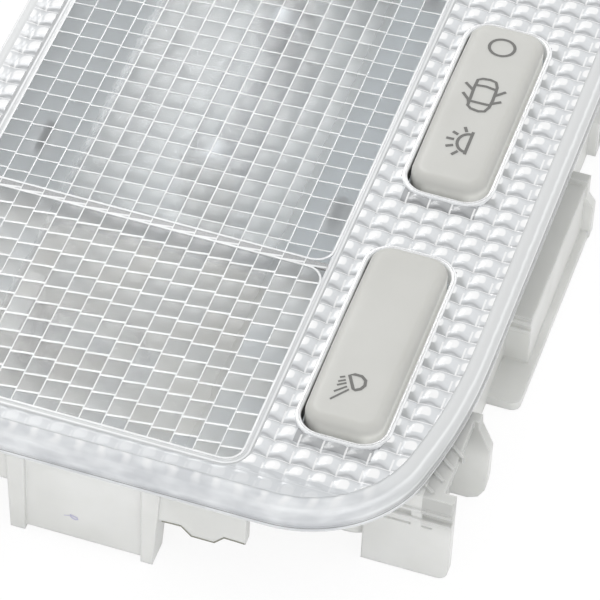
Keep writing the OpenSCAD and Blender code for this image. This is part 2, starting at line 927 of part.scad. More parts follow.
// Moving contact under one end of a rocker, with two pressed bumps
module bridge(side) {
    color(brass_colour)
        translate([0, side * bridge_y, bridge_z]) {
            block([-4, -1.8, 0], [4, 1.8, leaf_t]);
            for (x = [-tongue_x, tongue_x])
                translate([x, 0, 0.1])
                    mirror([0, 0, 1])
                        cylinder(r1 = 1.1, r2 = 0.6, h = 0.5);
        }
}

// Dome bulb, on its own axis along Y
module along_bulb() {
    translate([festoon_x, 0, bulb_z])
        rotate([-90, 0, 0])
            children();
}

module festoon_profile(r, l, end_r, shoulder) {
    seat = glass_in_cap + 0.2;
    polygon(concat(
        [[0, -l], [end_r, -l]],
        [for (i = [0:6]) let (a = 90 * i / 6) [end_r + (r - end_r) * sin(a), -l + seat + shoulder * (1 - cos(a))]],
        [for (i = [6:-1:0]) let (a = 90 * i / 6) [end_r + (r - end_r) * sin(a), l - seat - shoulder * (1 - cos(a))]],
        [[end_r, l], [0, l]]
    ));
}

module dome_bulb_glass() {
    glass_end = festoon_l / 2 - cap_l + glass_in_cap;
    color(glass_colour)
        along_bulb()
            difference() {
                rotate_extrude()
                    festoon_profile(festoon_r, glass_end, cap_r - 0.45, 3);
                rotate_extrude()
                    festoon_profile(festoon_r - glass_wall, glass_end + 0.1, cap_r - 0.45 - glass_wall, 3);
            }
}

module dome_bulb_caps() {
    inner = festoon_l / 2 - cap_l;
    color(steel_colour)
        for (s = [0, 1])
            mirror([0, s, 0])
                along_bulb()
                    difference() {
                        rotate_extrude()
                            polygon([
                                [0, inner], [cap_r, inner], [cap_r, inner + 3.2],
                                [1.2, festoon_l / 2 - 0.3], [0.8, festoon_l / 2], [0, festoon_l / 2]
                            ]);
                        translate([0, 0, inner - 1])
                            cylinder(r = cap_r - 0.4, h = 1 + glass_in_cap + 0.02);
                    }
}

module dome_bulb_filament() {
    reach = festoon_l / 2 - cap_l + glass_in_cap + 0.02;
    coil_l = 4;
    color(steel_colour)
        along_bulb()
            rotate_extrude()
                polygon([
                    [0, -reach], [filament_wire, -reach], [filament_wire, -coil_l],
                    [0.45, -coil_l], [0.45, coil_l], [filament_wire, coil_l],
                    [filament_wire, reach], [0, reach]
                ]);
}

// Sprung contact that stands on the pocket floor and holds one cap of the dome bulb
module dome_contact(side) {
    blade_w = 8;
    hole_r = 1.35;
    top = bulb_z + 4.4;
    color(brass_colour)
        mirror([0, side < 0 ? 1 : 0, 0])
            translate([festoon_x, contact_y, 0])
                difference() {
                    union() {
                        block([-blade_w / 2, 0, well_floor], [blade_w / 2, leaf_t, top]);
                        block([-blade_w / 2, 0, well_floor], [blade_w / 2, 6, well_floor + leaf_t]);
                        block(
                            [-2, contact_leg - leaf_t / 2, floor_z],
                            [2, contact_leg + leaf_t / 2, well_floor + leaf_t]
                        );
                        translate([0, 0, top])
                            rotate([-45, 0, 0])
                                block([-blade_w / 2, 0, -0.3], [blade_w / 2, leaf_t, 2]);
                    }
                    translate([0, -1, bulb_z])
                        rotate([-90, 0, 0])
                            cylinder(r = hole_r, h = 2.5);
                }
}

// Reading bulb, base first along +X from the bottom of its holder
module along_holder(side) {
    mirror([0, side < 0 ? 1 : 0, 0])
        translate([holder_front - base_l - 0.8, abs(reading_y), bulb_z])
            children();
}

module wedge_profile(r, neck_r, start, l) {
    polygon(concat(
        [[0, start], [neck_r, start]],
        [for (i = [0:6]) let (a = 90 * i / 6) [neck_r + (r - neck_r) * sin(a), start + 0.6 + 3.4 * (1 - cos(a))]],
        [for (i = [0:8]) let (a = 90 * i / 8) [r * cos(a), l - r + r * sin(a)]]
    ));
}

module wedge_glass(side) {
    lead_y = 2;
    color(glass_colour)
        along_holder(side)
            difference() {
                union() {
                    rotate([0, 90, 0])
                        rotate_extrude()
                            wedge_profile(wedge_r, 3, base_l + 1.6, wedge_l);
                    block([0, -base_w / 2, -base_t / 2], [base_l + 2.4, base_w / 2, base_t / 2]);
                }
                rotate([0, 90, 0])
                    rotate_extrude()
                        wedge_profile(wedge_r - glass_wall, 2.5, base_l + 2.8, wedge_l - glass_wall);
                for (y = [-lead_y, lead_y])
                    translate([-1, y, 0])
                        rotate([0, 90, 0])
                            cylinder(r = filament_wire + 0.08, h = base_l + 6);
            }
}

module wedge_filament(side) {
    lead_y = 2;
    coil_r = 0.4;
    tip = wedge_l - wedge_r - 2;
    color(steel_colour)
        along_holder(side) {
            for (y = [-lead_y, lead_y])
                translate([0, y, 0])
                    rotate([0, 90, 0])
                        cylinder(r = filament_wire, h = tip - 0.1);
            translate([tip, -lead_y - coil_r, 0])
                rotate([-90, 0, 0])
                    cylinder(r = coil_r, h = 2 * (lead_y + coil_r));
        }
}

module holder(side) {
    flange = 1.4;
    color(housing_colour)
        along_holder(side)
            difference() {
                union() {
                    block(
                        [base_l + 0.8 - holder_l, -holder_w / 2, -holder_h / 2],
                        [base_l + 0.8, holder_w / 2, holder_h / 2]
                    );
                    translate([base_l + 0.8 - 3 - pocket_wall - 0.1 - flange, 0, 0])
                        block(
                            [0, -holder_w / 2 - 1.2, -holder_h / 2],
                            [flange, holder_w / 2 + 1.2, holder_h / 2]
                        );
                }
                block([-0.1, -base_w / 2 - 0.2, -base_t / 2 - 0.1], [base_l + 2, base_w / 2 + 0.2, base_t / 2 + 0.1]);
                for (y = [-holder_leg_y, holder_leg_y])
                    block(
                        [0.6, y - 1.35, -base_t / 2 - leaf_t - 0.2],
                        [base_l + 2, y + 1.35, -base_t / 2]
                    );
            }
}

// Two leaf contacts that lie under the wedge base and drop through the pocket floor
module holder_contacts(side) {
    leaf_z = -base_t / 2 - leaf_t - 0.12;
    leg_w = 2.5;
    drop = bulb_z - floor_z;
    color(brass_colour)
        along_holder(side)
            for (y = [-holder_leg_y, holder_leg_y]) {
                block([0.8, y - leg_w / 2, leaf_z], [base_l + 0.8 + leaf_t, y + leg_w / 2, leaf_z + leaf_t]);
                block(
                    [base_l + 0.8 + 0.05, y - leg_w / 2, -drop],
                    [base_l + 0.8 + leaf_t, y + leg_w / 2, leaf_z + leaf_t]
                );
            }
}

// Flat conductor between two points in plan, in the plane of the strips
module strip_run(x0, y0, x1, y1, w) {
    block(
        [min(x0, x1) - w / 2, min(y0, y1) - w / 2, strip_z],
        [max(x0, x1) + w / 2, max(y0, y1) + w / 2, strip_z + strip_t]
    );
}

module strip_holes() {
    for (p = stake_places)
        translate([p[0], p[1], strip_z - 1])
            cylinder(r = stake_r + 0.1, h = strip_t + 2);
}

// Folded tongue that rises through a well floor and ends in a contact pad
module tongue(x, y) {
    translate([x, y, 0]) {
        block([-tongue_w / 2, -strip_t / 2, strip_z], [tongue_w / 2, strip_t / 2, tongue_top]);
        block([-tongue_w / 2, -1.8, tongue_top - strip_t], [tongue_w / 2, 1.8, tongue_top]);
    }
}

module pin(i) {
    y = pin_y + i * pin_pitch;
    block([pin_start, y - pin_w / 2, strip_z], [pin_end, y + pin_w / 2, strip_z + strip_t]);
}

near_switch_y = -rocker_spacing - bridge_y;

module live_strip() {
    leg_y = abs(reading_y) - holder_leg_y;
    live_pin_y = pin_y + 2 * pin_pitch;
    color(brass_colour)
        difference() {
            union() {
                strip_run(live_x, -leg_y, live_x, leg_y, strip_w);
                strip_run(live_x, -contact_leg_y, festoon_x, -contact_leg_y, strip_w);
                strip_run(live_x, live_pin_y, pin_start, live_pin_y, pin_w);
                pin(2);
            }
            strip_holes();
        }
}

module earth_strip() {
    lift = 2.8;
    y0 = pin_y + 1.2;
    y1 = pin_y + 2 * pin_pitch + 1;
    half = strip_w / 2;
    color(brass_colour)
        difference() {
            union() {
                strip_run(earth_x, near_switch_y, earth_x, y0 - half + strip_t, strip_w);
                strip_run(earth_x, y1 + half, earth_x, -near_switch_y, strip_w);
                block([earth_x - half, y0, strip_z], [earth_x + half, y0 + strip_t, strip_z + lift + strip_t]);
                block([earth_x - half, y1, strip_z], [earth_x + half, y1 + strip_t, strip_z + lift + strip_t]);
                block([earth_x - half, y0, strip_z + lift], [earth_x + half, y1 + strip_t, strip_z + lift + strip_t]);
                for (i = [0:2]) {
                    y = rocker_places[i] + rocker_signs[i] * bridge_y;
                    strip_run(rocker_x + tongue_x, y, earth_x, y, strip_w);
                    tongue(rocker_x + tongue_x, y);
                }
                pin(0);
            }
            strip_holes();
        }
}

module door_strip() {
    door_y = pin_y + pin_pitch;
    color(brass_colour) {
        strip_run(rocker_x, 0, rocker_x, door_y, pin_w);
        strip_run(rocker_x, door_y, pin_start, door_y, pin_w);
        pin(1);
        block([rocker_x - tongue_w / 2, -strip_t / 2, strip_z], [rocker_x + tongue_w / 2, strip_t / 2, well_floor]);
    }
}

module dome_return_strip() {
    y = rocker_signs[1] * bridge_y;
    color(brass_colour)
        difference() {
            union() {
                strip_run(festoon_x, contact_leg_y, return_x, contact_leg_y, strip_w);
                strip_run(return_x, y, return_x, contact_leg_y, strip_w);
                strip_run(return_x, y, rocker_x - tongue_x, y, strip_w);
                tongue(rocker_x - tongue_x, y);
            }
            strip_holes();
        }
}

module feed_strip(side) {
    y = abs(reading_y) + holder_leg_y;
    switch_y = -near_switch_y;
    color(brass_colour)
        mirror([0, side < 0 ? 1 : 0, 0])
            difference() {
                union() {
                    strip_run(leg_x, y, rocker_x - tongue_x, y, strip_w);
                    strip_run(rocker_x - tongue_x, y, rocker_x - tongue_x, switch_y, strip_w);
                    tongue(rocker_x - tongue_x, switch_y);
                }
                strip_holes();
            }
}

module at_rocker(i) {
    translate([rocker_x, rocker_places[i], pivot_z])
        children();
}

module in_stem(i) {
    translate([rocker_x, rocker_places[i], 0])
        children();
}

lens();
housing();
at_rocker(0) rocker(-1);  // near_rocker
at_rocker(1) rocker(-1);  // centre_rocker
at_rocker(2) rocker(1);  // far_rocker
in_stem(0) plunger();  // near_plunger
in_stem(1) plunger();  // centre_plunger
in_stem(2) plunger();  // far_plunger
in_stem(0) coil_spring();  // near_spring
in_stem(1) coil_spring();  // centre_spring
in_stem(2) coil_spring();  // far_spring
in_stem(0) bridge(-1);  // near_bridge
in_stem(1) bridge(-1);  // centre_bridge
in_stem(2) bridge(1);  // far_bridge
dome_bulb_glass();
dome_bulb_caps();
dome_bulb_filament();
dome_contact(-1);  // dome_contact_live
dome_contact(1);  // dome_contact_return
wedge_glass(-1);  // near_bulb_glass
wedge_filament(-1);  // near_bulb_filament
holder(-1);  // near_holder
holder_contacts(-1);  // near_holder_contacts
wedge_glass(1);  // far_bulb_glass
wedge_filament(1);  // far_bulb_filament
holder(1);  // far_holder
holder_contacts(1);  // far_holder_contacts
live_strip();
earth_strip();
door_strip();
dome_return_strip();
feed_strip(-1);  // near_feed_strip
feed_strip(1);  // far_feed_strip
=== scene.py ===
import math
import random

import bmesh
import bpy
from mathutils import Matrix, Vector


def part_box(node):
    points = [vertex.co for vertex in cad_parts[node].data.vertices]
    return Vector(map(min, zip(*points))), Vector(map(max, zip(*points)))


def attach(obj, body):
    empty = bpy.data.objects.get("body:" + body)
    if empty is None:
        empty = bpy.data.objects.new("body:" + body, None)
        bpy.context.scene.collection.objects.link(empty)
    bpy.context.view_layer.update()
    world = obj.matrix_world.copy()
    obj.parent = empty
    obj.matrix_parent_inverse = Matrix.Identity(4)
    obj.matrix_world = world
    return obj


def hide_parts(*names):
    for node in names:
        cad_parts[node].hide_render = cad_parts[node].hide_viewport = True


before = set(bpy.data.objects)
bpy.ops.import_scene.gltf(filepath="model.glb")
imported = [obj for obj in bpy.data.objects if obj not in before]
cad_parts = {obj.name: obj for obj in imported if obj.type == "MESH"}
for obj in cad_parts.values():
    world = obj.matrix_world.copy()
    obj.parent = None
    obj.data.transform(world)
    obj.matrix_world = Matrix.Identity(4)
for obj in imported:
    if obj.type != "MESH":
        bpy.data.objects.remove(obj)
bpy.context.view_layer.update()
mm = 0.001


# Camera. A long lens looks down on the near right corner of the light, which lies
# cover up, from its switch side, so that the far half runs out of the picture.
camera_azimuth = math.radians(16.16)
camera_height = math.radians(46.83)
camera_roll = math.radians(2.93)
camera_distance = 567 * mm
camera_target = Vector((14.74 * mm, -42.92 * mm, 20.2 * mm))

back = Vector((
    math.sin(camera_azimuth) * math.cos(camera_height),
    -math.cos(camera_azimuth) * math.cos(camera_height),
    math.sin(camera_height),
))
level_right = Vector((math.cos(camera_azimuth), math.sin(camera_azimuth), 0))
level_up = back.cross(level_right)
camera_right = math.cos(camera_roll) * level_right + math.sin(camera_roll) * level_up
camera_up = math.cos(camera_roll) * level_up - math.sin(camera_roll) * level_right

camera_data = bpy.data.cameras.new("photo_camera")
camera_data.sensor_width = 36
camera_data.lens = 249.4
camera_data.clip_start = 0.02
camera_data.clip_end = 20
camera = bpy.data.objects.new("photo_camera", camera_data)
bpy.context.scene.collection.objects.link(camera)
turned = Matrix((camera_right, camera_up, back)).transposed().to_4x4()
camera.matrix_world = Matrix.Translation(camera_target + back * camera_distance) @ turned
bpy.context.scene.camera = camera
bpy.context.scene.view_settings.view_transform = "Standard"


# Housing. One moulding in light grey translucent plastic, with lamp pockets, switch
# wells, feet and end tabs. Its faces are faintly textured by the tool, and its rounded
# edges catch the light through rounded normals and a painted highlight; painted shade
# darkens the deck under the cover and the tops of the long sides.
def shader_group(name, inputs, outputs):
    group = bpy.data.node_groups.new(name, "ShaderNodeTree")
    for label, kind, value in inputs:
        item = group.interface.new_socket(label, in_out="INPUT", socket_type=kind)
        item.default_value = value
    for label, kind in outputs:
        group.interface.new_socket(label, in_out="OUTPUT", socket_type=kind)
    group.nodes.new("NodeGroupInput")
    group.nodes.new("NodeGroupOutput")
    return group


def group_ends(group):
    ins = next(n for n in group.nodes if n.bl_idname == "NodeGroupInput")
    outs = next(n for n in group.nodes if n.bl_idname == "NodeGroupOutput")
    return ins.outputs, outs


def give(tree, target, inputs):
    """Feeds a node's inputs with other nodes' outputs or with plain values."""
    for key, value in inputs.items():
        if isinstance(value, bpy.types.NodeSocket):
            tree.links.new(value, target.inputs[key])
        else:
            target.inputs[key].default_value = value


def node(tree, kind, inputs=None, **settings):
    made = tree.nodes.new(kind)
    for key, value in settings.items():
        setattr(made, key, value)
    give(tree, made, inputs or {})
    return made


def maths(tree, kind, *values):
    return node(tree, "ShaderNodeMath", dict(enumerate(values)), operation=kind).outputs[0]


def spread(tree, value, start, end, low=0, high=1, kind="LINEAR"):
    """Low where the value is at start, high where it is at end, and held beyond."""
    return node(tree, "ShaderNodeMapRange", {
        "Value": value, "From Min": start, "From Max": end, "To Min": low, "To Max": high,
    }, interpolation_type=kind).outputs["Result"]


def blend(tree, share, tone, other, kind="MIX"):
    return node(tree, "ShaderNodeMix", {
        0: share, 6: tone, 7: other,
    }, data_type="RGBA", blend_type=kind).outputs[2]


def ramp(tree, value, stops):
    """Colour through stops, each a position and a colour."""
    made = node(tree, "ShaderNodeValToRGB", {"Fac": value})
    elements = made.color_ramp.elements
    elements[0].position, elements[0].color = stops[0]
    elements[1].position, elements[1].color = stops[-1]
    for position, colour in stops[1:-1]:
        elements.new(position).color = colour
    return made.outputs["Color"]


def own_place(tree):
    return node(tree, "ShaderNodeTexCoord").outputs["Object"]


def axes(tree, place):
    return node(tree, "ShaderNodeSeparateXYZ", {"Vector": place}).outputs


def noise(tree, size, detail, **place):
    """Noise over the piece, or over another Vector when one is given."""
    return node(tree, "ShaderNodeTexNoise", {**place, "Scale": size, "Detail": detail}).outputs["Fac"]


def placed_group(tree, group, values):
    made = tree.nodes.new("ShaderNodeGroup")
    made.node_tree = group
    give(tree, made, values)
    return made.outputs


def moulded_plastic_group():
    """Cloudy tone and gloss with a fine grain, as moulded and rolled surfaces have."""
    group = shader_group("moulded_plastic_surface", [
        ("Light tone", "NodeSocketColor", (0.8, 0.8, 0.8, 1)),
        ("Dull tone", "NodeSocketColor", (0.7, 0.7, 0.7, 1)),
        ("Roughness", "NodeSocketFloat", 0.4),
        ("Cloud size", "NodeSocketFloat", 60.0),
        ("Grain size", "NodeSocketFloat", 2500.0),
    ], [("Color", "NodeSocketColor"), ("Roughness", "NodeSocketFloat"), ("Height", "NodeSocketFloat")])
    ins, outs = group_ends(group)
    place = own_place(group)
    cloud = spread(group, noise(group, ins["Cloud size"], 4.0, Vector=place), 0.35, 0.65)
    give(group, outs, {
        "Color": blend(group, cloud, ins["Light tone"], ins["Dull tone"]),
        "Roughness": maths(group, "MULTIPLY_ADD", cloud, 0.12, ins["Roughness"]),
        "Height": noise(group, ins["Grain size"], 3.0, Vector=place),
    })
    return group


plastic_surface = moulded_plastic_group()


def new_material(name):
    """A material with its tree and its Principled shader."""
    material = bpy.data.materials.new(name)
    material.use_nodes = True
    tree = material.node_tree
    return material, tree, tree.nodes["Principled BSDF"]


def moulded_surface(tree, shader, light, dull, roughness, cloud, grain, depth):
    made = placed_group(tree, plastic_surface, {
        "Light tone": (*light, 1), "Dull tone": (*dull, 1), "Roughness": roughness,
        "Cloud size": cloud, "Grain size": grain,
    })
    bump = node(tree, "ShaderNodeBump", {
        "Height": made["Height"], "Strength": 0.35, "Distance": depth,
    })
    give(tree, shader, {
        "Base Color": made["Color"], "Roughness": made["Roughness"], "Normal": bump.outputs["Normal"],
    })


def tone_so_far(shader):
    return shader.inputs["Base Color"].links[0].from_socket


deck_level = 15.9 * mm
deck_half_w = 38.5 * mm
side_wall_x = 40 * mm


def shade_under_cover(tree, shader):
    """Painted shade: the deck's ledges under the cover get a darker, cooler colour, as they look cooler and
    deeper than the lit pockets between them.
    """
    at = axes(tree, own_place(tree))
    on_deck = maths(tree, "GREATER_THAN", at["Z"], deck_level)
    inside = maths(tree, "LESS_THAN", maths(tree, "ABSOLUTE", at["X"]), deck_half_w)
    to_right = spread(tree, at["X"], -5 * mm, 12 * mm)
    # painted shade colour for the ledges, darker towards the left
    ledge_shade_tone = blend(tree, to_right, (0.5, 0.53, 0.55, 1), (0.76, 0.8, 0.84, 1))
    shaded = blend(tree, 1.0, tone_so_far(shader), ledge_shade_tone, "MULTIPLY")
    share = maths(tree, "MULTIPLY", on_deck, inside)
    give(tree, shader, {"Base Color": blend(tree, share, tone_so_far(shader), shaded)})


def shade_long_sides(tree, shader):
    """Painted shade: the long sides are darkened in colour towards the top, where they stand in the rim's
    shade, and stay pale at the foot.
    """
    at = axes(tree, own_place(tree))
    at_side = maths(tree, "GREATER_THAN", maths(tree, "ABSOLUTE", at["X"]), side_wall_x)
    height = spread(tree, at["Z"], 8 * mm, 14.5 * mm, high=0.9, kind="SMOOTHSTEP")
    share = maths(tree, "MULTIPLY", at_side, height)
    give(tree, shader, {"Base Color": blend(tree, share, tone_so_far(shader), (0.5, 0.505, 0.49, 1))})


def round_edges_with_painted_highlight(tree, shader, radius):
    """Moulded edges are never sharp: the normal is rounded, and the thin edge is painted paler, a painted
    highlight.
    """
    rounded = node(tree, "ShaderNodeBevel", {"Radius": radius}, samples=4).outputs["Normal"]
    give(tree, shader.inputs["Normal"].links[0].from_node, {"Normal": rounded})
    flat = node(tree, "ShaderNodeNewGeometry").outputs["Normal"]
    facing = node(tree, "ShaderNodeVectorMath", {0: rounded, 1: flat}, operation="DOT_PRODUCT")
    # painted highlight: the thin edge is lightened in colour
    edge = spread(tree, facing.outputs["Value"], 0.99, 0.85, high=0.55)
    give(tree, shader, {"Base Color": blend(tree, edge, tone_so_far(shader), (0.95, 0.955, 0.94, 1))})


acrylic_ior = 1.49


def housing_material():
    material, tree, shader = new_material("housing_translucent_grey")
    moulded_surface(
        tree, shader, light=(0.78, 0.785, 0.77), dull=(0.7, 0.705, 0.685),
        roughness=0.34, cloud=70, grain=2600, depth=0.02 * mm,
    )
    shade_under_cover(tree, shader)
    shade_long_sides(tree, shader)
    round_edges_with_painted_highlight(tree, shader, 0.45 * mm)
    give(tree, shader, {
        "Subsurface Weight": 0.25, "Subsurface Radius": (1.0, 1.0, 0.9),
        "Subsurface Scale": 1.2 * mm, "IOR": acrylic_ior,
    })
    return material


def dress(name, material):
    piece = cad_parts[name]
    piece.data.materials.clear()
    piece.data.materials.append(material)
    return piece


dress("housing", housing_material())


# Conductors. Stamped brass strips staked under the housing, with tinned spring
# contacts and folded tongues; the metal is bright with faint rolling marks.
def rolled_metal(name, tone, dull, roughness):
    material, tree, shader = new_material(name)
    moulded_surface(tree, shader, tone, dull, roughness, cloud=180, grain=5000, depth=0.006 * mm)
    give(tree, shader, {"Metallic": 1})
    return material


strip_brass = rolled_metal("strip_brass_finish", (0.78, 0.62, 0.33), (0.6, 0.46, 0.22), 0.28)
tinned_brass = rolled_metal("tinned_brass_finish", (0.72, 0.71, 0.68), (0.58, 0.57, 0.54), 0.3)
bright_steel = rolled_metal("spring_steel_finish", (0.66, 0.67, 0.68), (0.5, 0.5, 0.5), 0.25)

strips = [
    "live_strip", "earth_strip", "door_strip",
    "dome_return_strip", "near_feed_strip", "far_feed_strip",
]
contacts = [
    "dome_contact_live", "dome_contact_return", "near_holder_contacts",
    "far_holder_contacts", "near_bridge", "centre_bridge", "far_bridge",
]
for name in strips:
    dress(name, strip_brass)
for name in contacts:
    dress(name, tinned_brass)
for name in ["near", "centre", "far"]:
    dress(name + "_plunger", bright_steel)
    dress(name + "_spring", bright_steel)


# Bulbs. A tubular dome bulb with pressed metal caps, and two capless reading bulbs
# in grey moulded holders. The glass is thin and clear, the coils dull tungsten.
def clear_glass():
    material, tree, shader = new_material("bulb_glass_clear")
    give(tree, shader, {
        "Base Color": (0.97, 0.98, 0.98, 1), "Transmission Weight": 1, "IOR": 1.3,
        "Roughness": spread(tree, noise(tree, 220.0, 3.0), 0, 1, 0.01, 0.08),
    })
    let_light_through(tree, shader, 0.9)
    return material


def let_light_through(tree, shader, share):
    """Shadow rays pass the clear piece, as its real light would after bending."""
    rays = node(tree, "ShaderNodeLightPath")
    clear = node(tree, "ShaderNodeBsdfTransparent", {"Color": (share, share, share, 1)})
    mix = node(tree, "ShaderNodeMixShader", {
        0: rays.outputs["Is Shadow Ray"], 1: shader.outputs["BSDF"], 2: clear.outputs["BSDF"],
    })
    give(tree, tree.nodes["Material Output"], {"Surface": mix.outputs["Shader"]})


bulb_glass = clear_glass()
filament_metal = rolled_metal("filament_tungsten", (0.42, 0.42, 0.43), (0.3, 0.3, 0.3), 0.4)
cap_metal = rolled_metal("bulb_cap_metal", (0.7, 0.71, 0.72), (0.55, 0.55, 0.55), 0.3)


def holder_material():
    material, tree, shader = new_material("holder_grey_plastic")
    moulded_surface(
        tree, shader, light=(0.6, 0.6, 0.58), dull=(0.52, 0.52, 0.5),
        roughness=0.42, cloud=120, grain=3000, depth=0.02 * mm,
    )
    return material


holder_grey = holder_material()
dress("dome_bulb_glass", bulb_glass)
dress("dome_bulb_caps", cap_metal)
dress("dome_bulb_filament", filament_metal)
for name in ["near", "far"]:
    dress(name + "_bulb_glass", bulb_glass)
    dress(name + "_bulb_filament", filament_metal)
    dress(name + "_holder", holder_grey)


# Rockers. Three switches in warm grey plastic with soft edges and a crowned back,
# turning on side trunnions; their signs are printed in dark grey.
rocker_low, rocker_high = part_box("centre_rocker")
rocker_x = (rocker_low.x + rocker_high.x) / 2
rocker_w = 11 * mm
rocker_l = 34 * mm
rocker_r = 2.9 * mm
rocker_edge = 1.5 * mm
rocker_crown = 0.5 * mm
rocker_wall = 1.4 * mm
rocker_top = rocker_high.z
rocker_skirt = 13.2 * mm
pivot_z = 15.6 * mm
stem_r = 2.7 * mm
stem_bore = 1.66 * mm
stem_low = rocker_low.z
trunnion_r = 1.5 * mm
trunnion_reach = 1.5 * mm
post_low = 11.1 * mm
post_place = 10 * mm
overlap = 0.1 * mm


def rounded_loop(w, l, r, steps=10):
    points = []
    for cx, cy, start in [(1, 1, 0), (-1, 1, 90), (-1, -1, 180), (1, -1, 270)]:
        for i in range(steps + 1):
            a = math.radians(start + 90 * i / steps)
            points.append((
                cx * (w / 2 - r) + r * math.cos(a),
                cy * (l / 2 - r) + r * math.sin(a),
            ))
    return points


def dense_loop(points, longest):
    """The loop with its long straight edges split, so that a crown can bend them."""
    out = []
    for p, q in zip(points, points[1:] + points[:1]):
        n = max(1, math.ceil(math.dist(p, q) / longest))
        out += [(p[0] + (q[0] - p[0]) * i / n, p[1] + (q[1] - p[1]) * i / n) for i in range(n)]
    return out


def loft(bm, rings, close_first=False, close_last=False):
    rows = [[bm.verts.new(p) for p in ring] for ring in rings]
    n = len(rows[0])
    for low, high in zip(rows, rows[1:]):
        for i in range(n):
            bm.faces.new((low[i], low[(i + 1) % n], high[(i + 1) % n], high[i]))
    if close_first:
        bm.faces.new(list(reversed(rows[0])))
    if close_last:
        bm.faces.new(rows[-1])
    return rows


def add_box(bm, low, high):
    corners = [
        bm.verts.new((x, y, z))
        for x in (low[0], high[0]) for y in (low[1], high[1]) for z in (low[2], high[2])
    ]
    for face in [(0, 1, 3, 2), (4, 6, 7, 5), (0, 4, 5, 1), (2, 3, 7, 6), (0, 2, 6, 4), (1, 5, 7, 3)]:
        bm.faces.new([corners[i] for i in face])


def add_tube(bm, place, profile, steps=40):
    """Closed ring of revolution about place's Z, from a closed profile of (r, z)."""
    rings = [
        [place @ Vector((r * math.cos(2 * math.pi * k / steps), r * math.sin(2 * math.pi * k / steps), z))
         for k in range(steps)]
        for r, z in profile + profile[:1]
    ]
    loft(bm, rings)


def rocker_surface(y):
    """Height of the crowned back over the pivot, at a distance y from its middle."""
    share = min(1.0, abs(y) / (rocker_l / 2 - rocker_r))
    return rocker_top - pivot_z - rocker_crown * share * share


def quarter_round(steps, first=0):
    """Shares of a rounded edge's radius, inward and down, from its foot to its top."""
    turns = [math.radians(90 * k / steps) for k in range(first, steps + 1)]
    return [(1 - math.cos(a), 1 - math.sin(a)) for a in turns]


def piece_from(name, bm, material):
    mesh = bpy.data.meshes.new(name)
    bm.to_mesh(mesh)
    bm.free()
    mesh.materials.append(material)
    piece = bpy.data.objects.new(name, mesh)
    bpy.context.scene.collection.objects.link(piece)
    return piece


def smooth_piece(name, bm, material, sharp_angle):
    piece = piece_from(name, bm, material)
    piece.data.shade_smooth()
    piece.data.set_sharp_from_angle(angle=math.radians(sharp_angle))
    return piece


def rocker_mesh(centre_y, bridge_side):
    """Crowned hollow shell with its trunnions, stem, bridge post and cross ribs."""
    bm = bmesh.new()
    place = Vector((rocker_x, centre_y, pivot_z))
    skirt = rocker_skirt - pivot_z
    plan = dense_loop(rounded_loop(rocker_w, rocker_l, rocker_r), 1.2 * mm)

    def ring(inset, height):
        w = rocker_w / 2 - rocker_r
        l = rocker_l / 2 - rocker_r
        share = (rocker_r - inset) / rocker_r
        out = []
        for x, y in plan:
            kx, ky = max(-w, min(w, x)), max(-l, min(l, y))
            px, py = kx + (x - kx) * share, ky + (y - ky) * share
            out.append(place + Vector((px, py, height(py))))
        return out

    inner_top = rocker_surface(rocker_l) - rocker_wall
    shell = [
        ring(rocker_wall, lambda y: inner_top),
        ring(rocker_wall, lambda y: skirt),
        ring(0, lambda y: skirt),
        ring(0, lambda y: rocker_surface(y) - rocker_edge - 2 * mm),
    ]
    for inward, down in quarter_round(8):
        shell.append(ring(rocker_edge * inward, lambda y, d=rocker_edge * down: rocker_surface(y) - d))
    for share in (0.7, 0.95):
        shell.append(ring(rocker_edge + (rocker_r - rocker_edge) * share, rocker_surface))
    rows = loft(bm, shell, close_first=True)
    cap_the_back(bm, rows[-1])

    start = rocker_w / 2 - rocker_wall - overlap
    end = rocker_w / 2 + trunnion_reach
    for side in (-1, 1):
        turned = Matrix.Translation(place) @ Matrix.Rotation(math.radians(90) * side, 4, "Y")
        add_tube(bm, turned, [
            (0.01 * mm, start), (trunnion_r, start), (trunnion_r, end - 0.2 * mm),
            (trunnion_r - 0.2 * mm, end), (0.01 * mm, end),
        ])
    add_tube(bm, Matrix.Translation(place), [
        (stem_bore, stem_low - pivot_z), (stem_r, stem_low - pivot_z),
        (stem_r, inner_top + overlap), (stem_bore, inner_top + overlap),
    ])
    post_y = bridge_side * post_place
    add_box(
        bm,
        place + Vector((-3.6 * mm, post_y - 1 * mm, post_low - pivot_z)),
        place + Vector((3.6 * mm, post_y + 1 * mm, inner_top + overlap)),
    )
    for side in (-1, 1):
        ends = sorted((side * (stem_r - overlap), side * (rocker_w / 2 - rocker_wall + overlap)))
        add_box(
            bm,
            place + Vector((ends[0], -0.6 * mm, -1.4 * mm)),
            place + Vector((ends[1], 0.6 * mm, inner_top + overlap)),
        )
    bmesh.ops.recalc_face_normals(bm, faces=bm.faces)
    return bm


def cap_the_back(bm, ring):
    """Strips across the crowned back, between the two long sides of its inner ring."""
    rows = {}
    for v in sorted(ring, key=lambda v: (round(v.co.y, 6), v.co.x)):
        rows.setdefault(round(v.co.y, 6), []).append(v)
    pairs = [(rows[y][0], rows[y][-1]) for y in sorted(rows)]
    for (a, b), (c, d) in zip(pairs, pairs[1:]):
        corners = []
        for v in (a, b, d, c):
            if v not in corners:
                corners.append(v)
        if len(corners) >= 3:
            bm.faces.new(corners)


def painted_glow_from_lip(tree, shader):
    """Painted light: the rocker's right side glows faintly low down in the gap, standing in for light the
    clear lip leads onto it.
    """
    low = spread(tree, axes(tree, own_place(tree))["Z"], 22 * mm, 20.9 * mm, kind="SMOOTHSTEP")
    facing = axes(tree, node(tree, "ShaderNodeNewGeometry").outputs["Normal"])
    right = spread(tree, facing["X"], -0.3, 0.4)
    share = maths(tree, "MULTIPLY", low, right)
    give(tree, shader, {
        "Emission Color": blend(tree, share, (0, 0, 0, 1), (0.25, 0.25, 0.24, 1)),
        "Emission Strength": 1,
    })


